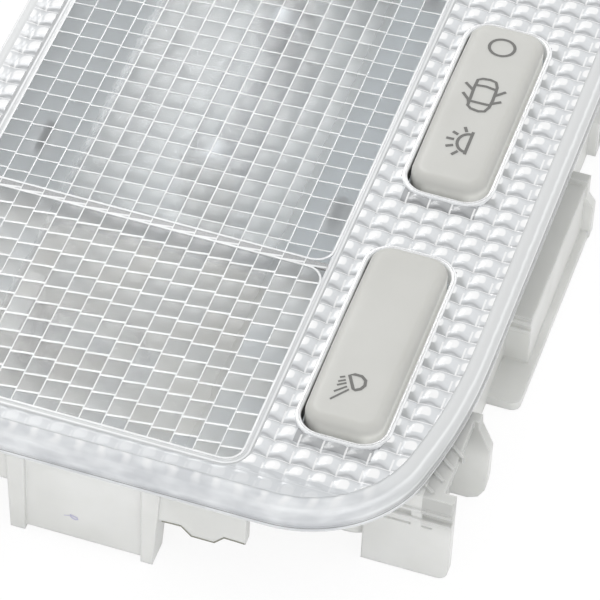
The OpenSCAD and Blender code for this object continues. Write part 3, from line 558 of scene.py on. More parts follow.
def rocker_material():
    material, tree, shader = new_material("rocker_warm_grey")
    moulded_surface(
        tree, shader, light=(0.54, 0.54, 0.515), dull=(0.505, 0.505, 0.48),
        roughness=0.36, cloud=45, grain=3200, depth=0.012 * mm,
    )
    give(tree, shader, {
        "Subsurface Weight": 0.4, "Subsurface Radius": (1.0, 0.98, 0.93), "Subsurface Scale": 1.6 * mm,
    })
    # painted light: faint glow on the rocker's right side
    painted_glow_from_lip(tree, shader)
    return material


rocker_grey = rocker_material()
rocker_spacing = 47.7 * mm
rocker_layout = {
    "near_rocker": (-rocker_spacing, -1, "near_switch"),
    "centre_rocker": (0, -1, "centre_switch"),
    "far_rocker": (rocker_spacing, 1, "far_switch"),
}
for name, (centre_y, bridge_side, body) in rocker_layout.items():
    piece = smooth_piece(name + "_moulding", rocker_mesh(centre_y, bridge_side), rocker_grey, 35)
    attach(piece, body)
    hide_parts(name)


# Printed signs. Pad-printed in dark grey on the rockers' backs: off, open doors and
# lamp on the middle one, and a reading lamp on the outer ones.
ink_lift = 0.02 * mm
line = 0.46 * mm


def speckled(name, size, detail, stops, roughness):
    """Thin ink, also used for a painted shadow line, with a fine speckle between two tones."""
    material, tree, shader = new_material(name)
    give(tree, shader, {
        "Base Color": ramp(tree, noise(tree, size, detail), stops), "Roughness": roughness,
    })
    return material


printed_ink = speckled(
    "printed_ink_dark_grey", 4000, 2, [(0.35, (0.11, 0.11, 0.105, 1)), (0.7, (0.17, 0.17, 0.16, 1))], 0.55,
)


def stroke(points, closed=False, width=line):
    """Ribbon of ink along a line of points in the plane of a rocker's back."""
    count = len(points)
    left, right = [], []
    for i, p in enumerate(points):
        before = points[i - 1] if closed or i > 0 else p
        after = points[(i + 1) % count] if closed or i < count - 1 else p
        along = Vector((after[0] - before[0], after[1] - before[1])).normalized()
        side = Vector((-along.y, along.x)) * width / 2
        left.append((p[0] + side.x, p[1] + side.y))
        right.append((p[0] - side.x, p[1] - side.y))
    turns = range(count if closed else count - 1)
    return [(left[i], left[(i + 1) % count], right[(i + 1) % count], right[i]) for i in turns]


def arc(cx, cy, r, start, end, steps=24):
    return [
        (cx + r * math.cos(math.radians(start + (end - start) * i / steps)),
         cy + r * math.sin(math.radians(start + (end - start) * i / steps)))
        for i in range(steps + 1)
    ]


def outline_sign(x, y, strokes, width=line):
    """Ribbons for a sign given as open or closed lines of points in millimetres."""
    quads = []
    for closed, points in strokes:
        quads += stroke([(x + px * mm, y + py * mm) for px, py in points], closed, width)
    return quads


def off_sign(x, y):
    return stroke(arc(x, y, 1.85 * mm, 0, 360, 40)[:-1], closed=True)


def door_sign(x, y):
    """A car seen from above with its doors open."""
    body = [
        (-1.5, 2.8), (-0.9, 3.25), (0.2, 3.4), (1.1, 3.15), (1.55, 2.2), (1.65, 1), (1.7, -0.8),
        (1.6, -2.2), (1.2, -3.15), (0.35, -3.4), (-0.85, -3.2), (-1.4, -2.7), (-1.45, -1), (-1.55, 1),
    ]
    return outline_sign(x, y, [
        (True, body),
        (False, [(-1.5, 1.65), (0, 1.85), (1.45, 1.6)]),
        (False, [(-1.4, -1.75), (0.1, -1.75), (1.65, -1.7)]),
        (False, [(-3, 1.7), (-1.65, 0.6)]),
        (False, [(-2.8, -0.4), (-1.7, -1.5), (-1.45, -2.1)]),
        (False, [(1.7, 0.35), (3, 1.7)]),
        (False, [(1.65, -1.4), (2.95, -0.5)]),
    ])


def lamp_sign(x, y):
    """A half round lamp with its flat side on the right and its rays on the left."""
    dome = [
        (0.85 + 1.55 * math.cos(math.radians(a)), 1.75 * math.sin(math.radians(a)))
        for a in range(90, 271, 12)
    ]
    rays = [
        ((-0.45, 2.9), (0.05, 2)), ((-1.85, 1.5), (-0.95, 1.15)), ((-2.4, 0.05), (-1.25, 0.1)),
        ((-2.05, -1.5), (-1.05, -1)), ((-0.8, -2.8), (-0.1, -1.9)),
    ]
    quads = outline_sign(x, y, [(False, dome)] + [(False, ray) for ray in rays])
    return quads + outline_sign(x, y, [(False, [(0.95, 2.3), (0.95, -2.2)])])


def reading_sign(x, y):
    """A lamp that throws its rays down and to the left."""
    lamp = [
        (-1.15, 1), (-0.55, 1.35), (0.45, 1.35), (1.15, 0.8), (1.3, -0.05),
        (0.95, -0.8), (0.3, -1.2), (0, -1.1),
    ]
    rays = [
        ((-2.3, 0.25), (-1.65, 0.6)), ((-2.3, -0.5), (-1.4, 0.05)), ((-2.25, -1.15), (-1.15, -0.4)),
        ((-2.3, -2.3), (-0.9, -0.95)), ((-2.4, -3.7), (-0.5, -1.35)),
    ]
    thin_line = 0.3 * mm
    return outline_sign(x, y, [(True, lamp)]) + outline_sign(x, y, [(False, r) for r in rays], thin_line)


upward = Vector((0, 0, 1))


def turn_faces(faces, outward):
    for face in faces:
        face.normal_update()
        if face.normal.dot(outward) < 0:
            face.normal_flip()


def add_marks(bm, quads, spot, outward):
    """Thin faces for the quads, each corner put in place by spot, turned to face outward."""
    turn_faces([bm.faces.new([bm.verts.new(spot(a, b)) for a, b in quad]) for quad in quads], outward)


def print_on_rocker(name, quads, centre_y, body):
    bm = bmesh.new()
    add_marks(bm, quads, lambda x, y: (
        x, y, pivot_z + rocker_surface(y - centre_y) + ink_lift,
    ), upward)
    piece = piece_from(name, bm, printed_ink)
    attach(piece, body)


sign_x = rocker_x - 0.1 * mm
middle_sign_x = sign_x + 0.2 * mm
reading_sign_y = rocker_spacing + 9.6 * mm
print_on_rocker(
    "centre_rocker_signs",
    off_sign(sign_x, 11.9 * mm) + door_sign(middle_sign_x, 1.2 * mm) + lamp_sign(middle_sign_x, -8.7 * mm),
    0, "centre_switch",
)
print_on_rocker("near_rocker_sign", reading_sign(sign_x, -reading_sign_y), -rocker_spacing, "near_switch")
print_on_rocker("far_rocker_sign", reading_sign(sign_x, reading_sign_y), rocker_spacing, "far_switch")


# Ink mark. A small violet smudge from a pen on the outer face of the near end tab,
# a loop with a faint tail.
violet_ink = speckled(
    "violet_pen_ink", 2500, 2, [(0.3, (0.42, 0.4, 0.6, 1)), (0.7, (0.64, 0.64, 0.74, 1))], 0.5,
)


def in_mm(points):
    return [(a * mm, b * mm) for a, b in points]


def pen_mark():
    tab_y = -77.62 * mm
    loop = [(-5.8, 5.2), (-5.35, 5.05), (-4.85, 4.9), (-4.75, 4.6), (-5.1, 4.45), (-5.5, 4.6), (-5.75, 4.9)]
    tail = [(-6.7, 4.75), (-6.2, 4.85), (-5.8, 4.95)]
    quads = stroke(in_mm(loop), True, 0.3 * mm) + stroke(in_mm(tail), False, 0.14 * mm)
    bm = bmesh.new()
    add_marks(bm, quads, lambda x, z: (x, tab_y, z), Vector((0, -1, 0)))
    mark = piece_from("tab_pen_mark", bm, violet_ink)
    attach(mark, "base")


pen_mark()


# Painted shadow line. A thin dark olive line of painted shade runs along the lower edges
# of the end walls and of the small lugs beside the tabs.
# painted shadow, dark olive with a fine speckle
edge_painted_shadow = speckled(
    "olive_edge_painted_shadow", 1500, 3, [(0.3, (0.12, 0.12, 0.09, 1)), (0.75, (0.42, 0.42, 0.36, 1))], 0.6,
)


def painted_edge_shadow_line():
    wall_y = 77.63 * mm
    edge = [(7.2, 9.1), (9.9, 9.25), (11.4, 7.7), (14.6, 7.7), (16, 9.25), (18.9, 9.1)]
    quads = stroke(in_mm(edge), False, 0.26 * mm)
    bm = bmesh.new()
    for side in (-1, 1):
        add_marks(bm, quads, lambda x, z, y=side * wall_y: (x, y, z), Vector((0, side, 0)))
    piece = piece_from("end_wall_painted_shadow", bm, edge_painted_shadow)
    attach(piece, "base")


painted_edge_shadow_line()


# Clear cover. One moulding in clear acrylic: a rolled rim with a skirt, pillow
# optics round the windows, a fine grid over them, and raised lips at the rockers.
cover_low, cover_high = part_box("lens")
half_w = (cover_high.x - cover_low.x) / 2
half_l = (cover_high.y - cover_low.y) / 2
cover_top = 20.2 * mm
cover_under = 18.2 * mm
skirt_low = 16 * mm
skirt_t = 1.2 * mm
cover_edge = 2.5 * mm
corner_r = 18 * mm
ease_r = 90 * mm
ease_angle = math.radians(14)
pitch = 3.2 * mm
grid_columns = 16
grid_shift = -1 * mm
grid_left = -half_w + 7.4 * mm
grid_w = grid_columns * pitch
window_mid = grid_left + grid_w / 2
window_end = half_l - 5.8 * mm
window_r = 2.6 * mm
window_strip = 1.25 * mm
bar_y = 35.8 * mm
hole_w, hole_l, hole_r = 11.84 * mm, 35.54 * mm, 3.32 * mm
lip_w, lip_h = 0.8 * mm, 0.75 * mm
rocker_places = (-rocker_spacing, 0, rocker_spacing)

corner_y = half_l - corner_r
ease_y = corner_y - (ease_r - corner_r) * math.sin(ease_angle)
corner_x = half_w - ease_r + (ease_r - corner_r) * math.cos(ease_angle)


def cover_outline(inset, ease_steps=5, arc_steps=18):
    """Points round the cover: long sides eased at both ends, round corners, straight ends."""
    quarter = []
    for i in range(ease_steps):
        a = ease_angle * i / ease_steps
        quarter.append((
            half_w - ease_r + (ease_r - inset) * math.cos(a),
            ease_y + (ease_r - inset) * math.sin(a),
        ))
    for i in range(arc_steps + 1):
        a = ease_angle + (math.pi / 2 - ease_angle) * i / arc_steps
        quarter.append((
            corner_x + (corner_r - inset) * math.cos(a),
            corner_y + (corner_r - inset) * math.sin(a),
        ))
    left = [(-x, y) for x, y in reversed(quarter)]
    return quarter + left + [(-x, -y) for x, y in quarter] + [(x, -y) for x, y in reversed(quarter)]


def beyond_outline(x, y):
    """Distance outside the cover's outline, and the direction away from it."""
    ax, ay = abs(x), abs(y)
    sx, sy = math.copysign(1, x), math.copysign(1, y)
    if ay <= ease_y:
        return ax - half_w, (sx, 0)
    if ax <= corner_x:
        return ay - half_l, (0, sy)
    if (ay - corner_y) >= math.tan(ease_angle) * (ax - corner_x):
        cx, cy, r = corner_x, corner_y, corner_r
    else:
        cx, cy, r = half_w - ease_r, ease_y, ease_r
    d = math.hypot(ax - cx, ay - cy)
    return d - r, (sx * (ax - cx) / d, sy * (ay - cy) / d)


def beyond_rounded(x, y, w, l, r):
    """Distance outside a rounded rectangle round the origin, and its direction."""
    ax, ay = abs(x) - (w / 2 - r), abs(y) - (l / 2 - r)
    sx, sy = math.copysign(1, x), math.copysign(1, y)
    if ax > 0 and ay > 0:
        d = math.hypot(ax, ay)
        return d - r, (sx * ax / d, sy * ay / d)
    if ax > ay:
        return ax - r, (sx, 0)
    return ay - r, (0, sy)


def pillow_height(x, y):
    """Square pillows on the cover's pitch, in rows with deep grooves between them, and
    flatter near the rim and at the ends. Heights are in millimetres until the end."""
    u = ((x - grid_left) / pitch) % 1 - 0.5
    v = ((y - grid_shift) / pitch) % 1 - 0.5
    dome = 0.16 * (1 - 4 * u * u) + 0.22 * (1 - 4 * v * v)
    groove = 0.2 * abs(2 * v) ** 8 + 0.1 * abs(2 * u) ** 8
    calm = 0.25 if abs(y) > window_end else 1
    from_rim = -(beyond_outline(x, y)[0] + cover_edge) / (2.4 * mm)
    calm *= min(1, max(0.15, from_rim))
    return (0.15 + calm * (dome - groove)) * mm


def into_pillow_field(x, y, step):
    """The point moved onto the field's edge where it is just outside, or None."""
    past_edge, away = beyond_outline(x, y)
    moves = [(past_edge + cover_edge, away)]
    windows_l = 2 * (window_end + window_strip)
    tests = [(window_mid, 0, grid_w + 2 * window_strip, windows_l, window_r + window_strip)]
    tests += [
        (rocker_x, c, hole_w + 2 * lip_w, hole_l + 2 * lip_w, hole_r + lip_w) for c in rocker_places
    ]
    for cx, cy, w, l, r in tests:
        d, away = beyond_rounded(x - cx, y - cy, w, l, r)
        moves.append((-d, (-away[0], -away[1])))
    for d, away in moves:
        if d > step:
            return None
        if d > 0:
            x, y = x - away[0] * d, y - away[1] * d
    return x, y


def pillow_field(bm, per_cell=8):
    """The pillows all over the face but for the rim, the windows and the rockers' lips."""
    step = pitch / per_cell
    first_x = math.floor((-half_w - grid_left) / step)
    last_x = math.ceil((half_w - grid_left) / step)
    first_y = math.floor((-half_l - grid_shift) / step)
    last_y = math.ceil((half_l - grid_shift) / step)
    grid = {}
    for i in range(first_x, last_x + 1):
        for j in range(first_y, last_y + 1):
            x, y = grid_left + i * step, grid_shift + j * step
            spot = into_pillow_field(x, y, step * 0.99)
            if spot:
                grid[i, j] = bm.verts.new((*spot, cover_top + pillow_height(x, y)))
    for i, j in list(grid):
        ring = [(i, j), (i + 1, j), (i + 1, j + 1), (i, j + 1)]
        if all(k in grid for k in ring):
            bm.faces.new([grid[k] for k in ring])


def cover_rim(bm):
    """Skirt and rolled edge. Its texture space runs along the rim in millimetres, and
    from 0 at the skirt's foot to 1 at the crest."""
    def ring(inset, z):
        return [Vector((x, y, z)) for x, y in cover_outline(inset)]

    step_in = 0.18 * mm
    shape = [
        ring(skirt_t, cover_under), ring(skirt_t, skirt_low + 0.2 * mm),
        ring(skirt_t - 0.2 * mm, skirt_low), ring(0.25 * mm, skirt_low),
        ring(0, skirt_low + 0.25 * mm), ring(0, skirt_low + 0.9 * mm),
        ring(step_in, skirt_low + 1.0 * mm), ring(step_in, cover_top - cover_edge),
    ]
    foot, widest = 3, 5
    for inward, down in quarter_round(8, 1):
        shape.append(ring(step_in + (cover_edge - step_in) * inward, cover_top - cover_edge * down))
    rows = loft(bm, shape)
    climb = 7.2  # millimetres of profile from foot to crest
    along, spots = 0, {}
    for i, vert in enumerate(rows[widest]):
        if i:
            along += (vert.co - rows[widest][i - 1].co).length / mm
        up = 0
        for k in range(foot, len(rows)):
            up += (rows[k][i].co - rows[k - 1][i].co).length / mm if k > foot else 0
            spots[rows[k][i]] = (along, up / climb)
    wrap = bm.loops.layers.uv.verify()
    for vert, spot in spots.items():
        for corner in vert.link_loops:
            corner[wrap].uv = spot


def window_plate(bm, per_cell=4):
    """Top of the windows: one shallow, slightly tilted lens in each cell of the grid."""
    rng = random.Random(7)
    lean = 0.012
    step = pitch / per_cell
    first_row = math.floor((-window_end - grid_shift) / pitch)
    last_row = math.ceil((window_end - grid_shift) / pitch)
    for i in range(grid_columns):
        for j in range(first_row, last_row):
            tilt_x, tilt_y = rng.uniform(-1, 1) * lean, rng.uniform(-1, 1) * lean
            cell = {}
            for a in range(per_cell + 1):
                for b in range(per_cell + 1):
                    x = grid_left + i * pitch + a * step
                    y = max(-window_end, min(window_end, grid_shift + j * pitch + b * step))
                    u, v = a / per_cell - 0.5, b / per_cell - 0.5
                    bulge = 0.05 * mm * (1 - 4 * u * u) * (1 - 4 * v * v)
                    cell[a, b] = bm.verts.new((
                        x, y, cover_top + bulge + (tilt_x * u + tilt_y * v) * pitch,
                    ))
            for a in range(per_cell):
                for b in range(per_cell):
                    quad = [cell[a, b], cell[a + 1, b], cell[a + 1, b + 1], cell[a, b + 1]]
                    if abs(quad[0].co.y - quad[2].co.y) > 0.01 * mm:
                        bm.faces.new(quad)


def window_under(bm):
    """Flat underside of the whole plate inside the skirt, with the rockers' holes."""
    def ring(points, z):
        return [bm.verts.new((x, y, z)) for x, y in points]

    loops = [ring(cover_outline(skirt_t), cover_under)]
    for c in rocker_places:
        hole = [(rocker_x + x, c + y) for x, y in rounded_loop(hole_w, hole_l, hole_r)]
        loops.append(ring(hole, cover_under))
    edges = [bm.edges.new((a, b)) for loop in loops for a, b in zip(loop, loop[1:] + loop[:1])]
    made = bmesh.ops.triangle_fill(bm, edges=edges, use_beauty=True, use_dissolve=False)
    turn_faces([part for part in made["geom"] if isinstance(part, bmesh.types.BMFace)], -upward)


def rocker_lip(bm, centre_y):
    """Raised lip round a rocker's hole, and the hole's wall."""
    def ring(grow, z):
        loop = rounded_loop(hole_w + 2 * grow, hole_l + 2 * grow, hole_r + grow)
        return [Vector((rocker_x + x, centre_y + y, z)) for x, y in loop]

    round_r = 0.3 * mm
    lip_top = cover_top + lip_h
    shape = [ring(0, cover_under), ring(0, cover_top + 0.2 * mm), ring(0, lip_top - round_r)]
    shape += [ring(round_r * inward, lip_top - round_r * down) for inward, down in quarter_round(4, 1)]
    shape += [ring(lip_w - round_r * down, lip_top - round_r * inward) for inward, down in quarter_round(4)]
    shape.append(ring(lip_w, cover_top - 0.3 * mm))
    loft(bm, shape)


def snap_leg(bm, x, y, side):
    """Leg under the cover, with a barb on one side that catches under the deck."""
    low, high = 14 * mm, cover_under
    barb = 15.8 * mm
    leg_half_w = 3 * mm
    profile = [(-0.6, high), (-0.6, low), (0.6, low), (1.3, barb), (0.6, barb), (0.6, high)]
    ends = [
        [bm.verts.new((x + side * px * mm, py, pz)) for px, pz in profile]
        for py in (y - leg_half_w, y + leg_half_w)
    ]
    n = len(profile)
    for i in range(n):
        bm.faces.new((ends[0][i], ends[0][(i + 1) % n], ends[1][(i + 1) % n], ends[1][i]))
    bm.faces.new(ends[0])
    bm.faces.new(ends[1])


def as_acrylic(tree, shader, tone, roughness, transmission, light_share=0.5):
    give(tree, shader, {
        "Base Color": tone, "Roughness": roughness,
        "Transmission Weight": transmission, "IOR": acrylic_ior,
    })
    let_light_through(tree, shader, light_share)


def clear_acrylic():
    """Plate over the pockets: clear, but its many small lenses blur what lies below,
    and over the ledges on both sides of the pockets they blur it most."""
    material, tree, shader = new_material("cover_clear_acrylic")
    pocket_middle = -7.5 * mm
    smear = spread(tree, noise(tree, 90, 5), 0, 1, 0.16, 0.26)
    from_pocket = maths(tree, "SUBTRACT", axes(tree, own_place(tree))["X"], pocket_middle)
    from_pocket = maths(tree, "ABSOLUTE", from_pocket)
    over_ledge = spread(tree, from_pocket, 15.5 * mm, 17.5 * mm, high=0.22)
    roughness = maths(tree, "ADD", smear, over_ledge)
    as_acrylic(tree, shader, (0.71, 0.74, 0.76, 1), roughness, 0.88, 0.38)
    return material


def pillow_lines_group():
    """Tone of the pillows: painted shade in the wavy grooves between rows and along a lip, a
    painted highlight on each pillow, thin white lines where the moulding's cells meet, calm at the ends."""
    group = shader_group("pillow_lines", [
        ("Tone", "NodeSocketColor", (0.9, 0.93, 0.95, 1)), ("Painted highlight", "NodeSocketFloat", 1.0),
    ], [("Color", "NodeSocketColor")])
    ins, outs = group_ends(group)
    white = (1, 1, 1, 1)

    def calc(kind, *values):
        return maths(group, kind, *values)

    def away_from(value, middle):
        return calc("ABSOLUTE", calc("SUBTRACT", value, middle))

    place = own_place(group)
    at = axes(group, place)
    across = calc("DIVIDE", calc("SUBTRACT", at["X"], grid_left), pitch)
    along = calc("DIVIDE", calc("SUBTRACT", at["Y"], grid_shift), pitch)
    u, v = calc("FRACT", across), calc("FRACT", along)
    wave = calc("MULTIPLY", calc("COSINE", calc("MULTIPLY", across, 2 * math.pi)), 0.06)
    waved = calc("FRACT", calc("ADD", along, wave))
    # painted shade: the wavy grooves between rows go darker
    groove = ((0.07, 0.6), (0.16, 0.86), (0.32, 1.0), (0.75, 1.0), (0.93, 0.88))
    crest = ramp(group, waved, [
        (0, (0.78, 0.78, 0.79, 1)),
        *((position, (tone * 0.985, tone * 0.995, tone, 1)) for position, tone in groove),
        (1, (0.8, 0.81, 0.82, 1)),
    ])
    toned = blend(group, 1.0, ins["Tone"], crest, "MULTIPLY")

    # painted shade beside each rocker's lip
    off_lip = calc("DIVIDE", away_from(at["X"], rocker_x + hole_w / 2 + lip_w), 1.3 * mm)
    off_row = calc("DIVIDE", away_from(waved, 0.1), 0.45)
    from_rocker = calc("PINGPONG", at["Y"], rocker_spacing / 2)
    beside_lip = calc("MULTIPLY", *(
        calc("MAXIMUM", calc("SUBTRACT", 1.0, off), 0.0) for off in (off_lip, off_row)
    ))
    beside_lip = calc("MULTIPLY", beside_lip, calc("LESS_THAN", from_rocker, hole_l / 2 - 1 * mm))
    beside_lip = calc("MINIMUM", calc("MULTIPLY", beside_lip, 1.8), 0.8)
    toned = blend(group, beside_lip, toned, (0.42, 0.43, 0.43, 1))

    # painted highlight: a white spot on each pillow
    drift = calc("MULTIPLY_ADD", noise(group, 170, 3, Vector=place), 0.3, -0.15)
    blob_u = calc("DIVIDE", calc("SUBTRACT", u, calc("ADD", 0.4, drift)), 0.29)
    blob_v = calc("DIVIDE", calc("SUBTRACT", waved, 0.56), 0.27)
    from_blob = calc("ADD", *(calc("POWER", calc("ABSOLUTE", off), 3) for off in (blob_u, blob_v)))
    painted_highlight = spread(group, from_blob, 1.1, 0.4, kind="SMOOTHSTEP")
    toned = blend(group, calc("MULTIPLY", painted_highlight, ins["Painted highlight"]), toned, white)

    row_line = calc("MULTIPLY", calc("GREATER_THAN", away_from(v, 0.5), 0.473), 0.9)
    column_line = calc("GREATER_THAN", away_from(u, 0.5), 0.46)
    column_line = calc("MULTIPLY", column_line, calc("LESS_THAN", v, 0.62))
    line_share = calc("MULTIPLY", calc("MAXIMUM", row_line, column_line), 0.85)
    toned = blend(group, line_share, toned, white)

    at_end = calc("GREATER_THAN", calc("ABSOLUTE", at["Y"]), window_end)
    toned = blend(group, calc("MULTIPLY", at_end, 0.75), toned, (0.62, 0.64, 0.66, 1))
    give(group, outs, {"Color": toned})
    return group


pillow_lines = pillow_lines_group()


def pillow_acrylic(name, tone, painted_highlight):
    """Clear acrylic with the pillows' painted shade and painted highlights in its colour, grey in the
    grooves between rows.
    """
    material, tree, shader = new_material(name)
    lines = placed_group(tree, pillow_lines, {
        "Tone": (tone, tone * 1.012, tone * 1.03, 1), "Painted highlight": painted_highlight,
    })
    as_acrylic(tree, shader, lines["Color"], 0.16, 0.22)
    return material


def grey_acrylic(name, low, high, transmission, roughness, light_share=0.5):
    """Acrylic seen edge on: the grey or white that light bent and reflected in its depth gives it is
    painted into its colour, between two tones.
    """
    material, tree, shader = new_material(name)
    tone = ramp(tree, noise(tree, 260, 4), [
        (0.35, (low, low * 1.015, low * 1.03, 1)), (0.65, (high, high * 1.01, high * 1.02, 1)),
    ])
    as_acrylic(tree, shader, tone, roughness, transmission, light_share)
    return material


def rim_acrylic():
    """The rim's depth shows as fine white and grey lines along it, painted reflections in its colour.
    At the ends they give way to blurred traces of the pillows behind, with painted highlights."""
    material, tree, shader = new_material("cover_rim_acrylic")
    wrap = node(tree, "ShaderNodeTexCoord").outputs["UV"]
    up = axes(tree, wrap)["Y"]
    at = axes(tree, own_place(tree))

    def drawn_noise(scale, detail):
        drawn = node(tree, "ShaderNodeMapping", {"Vector": wrap, "Scale": scale})
        return noise(tree, 1, detail, Vector=drawn.outputs["Vector"])

    moved = maths(tree, "MULTIPLY_ADD", drawn_noise((0.16, 5, 1), 3), 0.05, up)
    bands = (
        (0.1, 1.0), (0.15, 0.9), (0.2, 0.52), (0.25, 0.62), (0.3, 0.92), (0.36, 0.7), (0.5, 0.74),
        (0.56, 0.96), (0.6, 0.74), (0.8, 0.76), (0.92, 0.72),
    )
    lines = ramp(tree, moved, [
        (0.04, (0.8, 0.82, 0.84, 1)),
        *((position, (tone * 0.98, tone * 0.995, tone, 1)) for position, tone in bands),
        (1, (0.86, 0.88, 0.9, 1)),
    ])
    cloud = drawn_noise((0.17, 2.6, 1), 2)
    blurred = ramp(tree, cloud, [(0.38, (0.62, 0.64, 0.67, 1)), (0.64, (0.84, 0.86, 0.88, 1))])
    # painted highlights: white gleams at the pillows' pitch towards the crest
    turn = maths(tree, "MULTIPLY", at["X"], 2 * math.pi / pitch)
    turn = maths(tree, "COSINE", maths(tree, "MULTIPLY_ADD", cloud, 5.0, turn))
    gleam = maths(tree, "MULTIPLY", spread(tree, turn, 0.1, 1), spread(tree, up, 0.5, 0.75, high=0.75))
    traced = blend(tree, gleam, blurred, (1, 1, 1, 1))
    at_end = spread(tree, maths(tree, "ABSOLUTE", at["Y"]), 66 * mm, 77 * mm, high=0.8)
    as_acrylic(tree, shader, blend(tree, at_end, lines, traced), 0.1, 0.15)
    return material


def prism_acrylic():
    """Plate over the reading lamps, whose saw-tooth rows each run from dark to light in painted shade,
    darker still beside the bar.
    """
    material, tree, shader = new_material("cover_prism_acrylic")
    place = own_place(tree)
    at = axes(tree, place)
    row = maths(tree, "DIVIDE", maths(tree, "SUBTRACT", at["Y"], grid_shift), pitch)
    # painted shade across each row
    shade = ramp(tree, maths(tree, "FRACT", row), [
        (0, (0.97, 0.97, 0.96, 1)), (0.5, (0.94, 0.94, 0.94 * 0.99, 1)),
        (0.8, (0.86, 0.86, 0.86 * 0.99, 1)), (1, (0.76, 0.76, 0.75, 1)),
    ])
    cell = place
    for kind, values in (
        ("SUBTRACT", {1: (grid_left, grid_shift, 0)}), ("MULTIPLY", {1: (1 / pitch, 1 / pitch, 0)}),
        ("FLOOR", {}),
    ):
        cell = node(tree, "ShaderNodeVectorMath", {0: cell, **values}, operation=kind).outputs["Vector"]
    chance = node(tree, "ShaderNodeTexWhiteNoise", {"Vector": cell}).outputs["Value"]
    tint = blend(tree, chance, (0.85, 0.87, 0.89, 1), (0.9, 0.885, 0.86, 1))
    tinted = blend(tree, 1.0, shade, tint, "MULTIPLY")
    from_middle = maths(tree, "ABSOLUTE", at["Y"])
    # painted shade: the rows next to the bar go darker
    first_row = spread(tree, from_middle, bar_y + 1 * mm, bar_y + 6 * mm, 0.6, 0)
    shade_by_bar = blend(tree, first_row, tinted, (0.4, 0.41, 0.42, 1))
    as_acrylic(tree, shader, shade_by_bar, 0.2, 0.82)
    return material


cover_finishes = {
    "clear": clear_acrylic(),
    "pillow": pillow_acrylic("cover_pillow_acrylic", 0.78, 1),
    "lip": grey_acrylic("cover_lip_acrylic", 0.82, 1.0, 0.25, 0.12, 0.9),
    "rim": rim_acrylic(),
    # painted shade: near-black wall down in the gap
    "gap": grey_acrylic("cover_gap_painted_shade", 0.02, 0.04, 0.1, 0.4),
    "prism": prism_acrylic(),
    # painted shade: a darker copy of the pillow finish
    "shaded_pillow": pillow_acrylic("cover_shaded_acrylic", 0.44, 0.1),
    # painted shade: grey crest of the lip
    "lip_crest": grey_acrylic("cover_lip_shade", 0.5, 0.62, 0.2, 0.2),
}
finish_numbers = {name: i for i, name in enumerate(cover_finishes)}


def pillow_finish(spot):
    """The pillows just outside a rocker's near end lie in its shade, painted as a darker copy of the pillow
    finish.
    """
    near_end = -hole_l / 2 - lip_w
    if abs(spot.x - rocker_x) < hole_w / 2 - 0.6 * mm and any(
        near_end - 1.5 * mm < spot.y - c < near_end + 1 * mm for c in rocker_places
    ):
        return "shaded_pillow"
    return "pillow"


def lip_finish(spot, centre_y):
    """Bright lip with a grey crest of painted shade, and a near-black left wall of painted shade down in
    the gap.
    """
    if spot.z > cover_top + lip_h - 0.01 * mm:
        return "lip_crest"
    beyond = beyond_rounded(spot.x - rocker_x, spot.y - centre_y, hole_w, hole_l, hole_r)[0]
    if beyond < 0.05 * mm and spot.z < cover_top and spot.x < rocker_x - 5 * mm:
        return "gap"
    return "lip"


def cover_mesh():
    """All of the cover, each part's new faces given their finish as it is added."""
    bm = bmesh.new()
    done = set()

    def finish(choose):
        for face in bm.faces:
            if face not in done:
                face.material_index = finish_numbers[choose(face.calc_center_median())]
        done.update(bm.faces)

    pillow_field(bm)
    finish(pillow_finish)
    window_plate(bm)
    turn_faces(bm.faces, upward)
    finish(lambda spot: "prism" if abs(spot.y) > bar_y else "clear")
    window_under(bm)
    finish(lambda spot: "clear")
    cover_rim(bm)
    finish(lambda spot: "rim")
    for c in rocker_places:
        rocker_lip(bm, c)
        finish(lambda spot, c=c: lip_finish(spot, c))
    for x, side in ((-29.5 * mm, -1), (14.1 * mm, 1)):
        for y in (-24 * mm, 24 * mm):
            snap_leg(bm, x, y, side)
    return bm


cover = smooth_piece("clear_cover", cover_mesh(), cover_finishes["clear"], 40)
for name in list(cover_finishes)[1:]:
    cover.data.materials.append(cover_finishes[name])
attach(cover, "base")
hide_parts("lens")


# Grid ribs. The cover's fine square grid is moulded as thin ribs that scatter the
# light to white, framed round each window, with a grey bar between two windows.
rib_w = 0.15 * mm
rib_h = 0.12 * mm
rib_foot = cover_top + 0.005 * mm
frame_w = 0.3 * mm
half_bar = 0.7 * mm


def frost_and_highlight_material():
    # white frost for the grid ribs and the strip line, also used for painted highlight lines on the rim
    material, tree, shader = new_material("cover_frosted_ribs_and_painted_highlights")
    give(tree, shader, {
        "Base Color": ramp(tree, noise(tree, 900, 2), [(0, (0.86, 0.88, 0.89, 1)), (1, (1, 1, 1, 1))]),
        "Roughness": 0.25, "Transmission Weight": 0.35,
    })
    let_light_through(tree, shader, 0.8)
    return material


frost_and_highlight = frost_and_highlight_material()


def add_rib(bm, p, q, width, low, high):
    along = (Vector(q) - Vector(p)).normalized()
    side = Vector((-along.y, along.x)) * width / 2
    corners = [Vector(p) - side, Vector(q) - side, Vector(q) + side, Vector(p) + side]
    bottom, top = ([bm.verts.new((c.x, c.y, z)) for c in corners] for z in (low, high))
    bm.faces.new(top)
    bm.faces.new(list(reversed(bottom)))
    for i in range(4):
        bm.faces.new((bottom[i], bottom[(i + 1) % 4], top[(i + 1) % 4], top[i]))


def add_frame(bm, low_y, high_y):
    """Raised line round a window, with the windows' corner radius."""
    mid = (low_y + high_y) / 2
    loop = [(window_mid + x, mid + y) for x, y in rounded_loop(grid_w, high_y - low_y, window_r, 6)]
    for p, q in zip(loop, loop[1:] + loop[:1]):
        add_rib(bm, p, q, frame_w, rib_foot, cover_top + rib_h + 0.04 * mm)


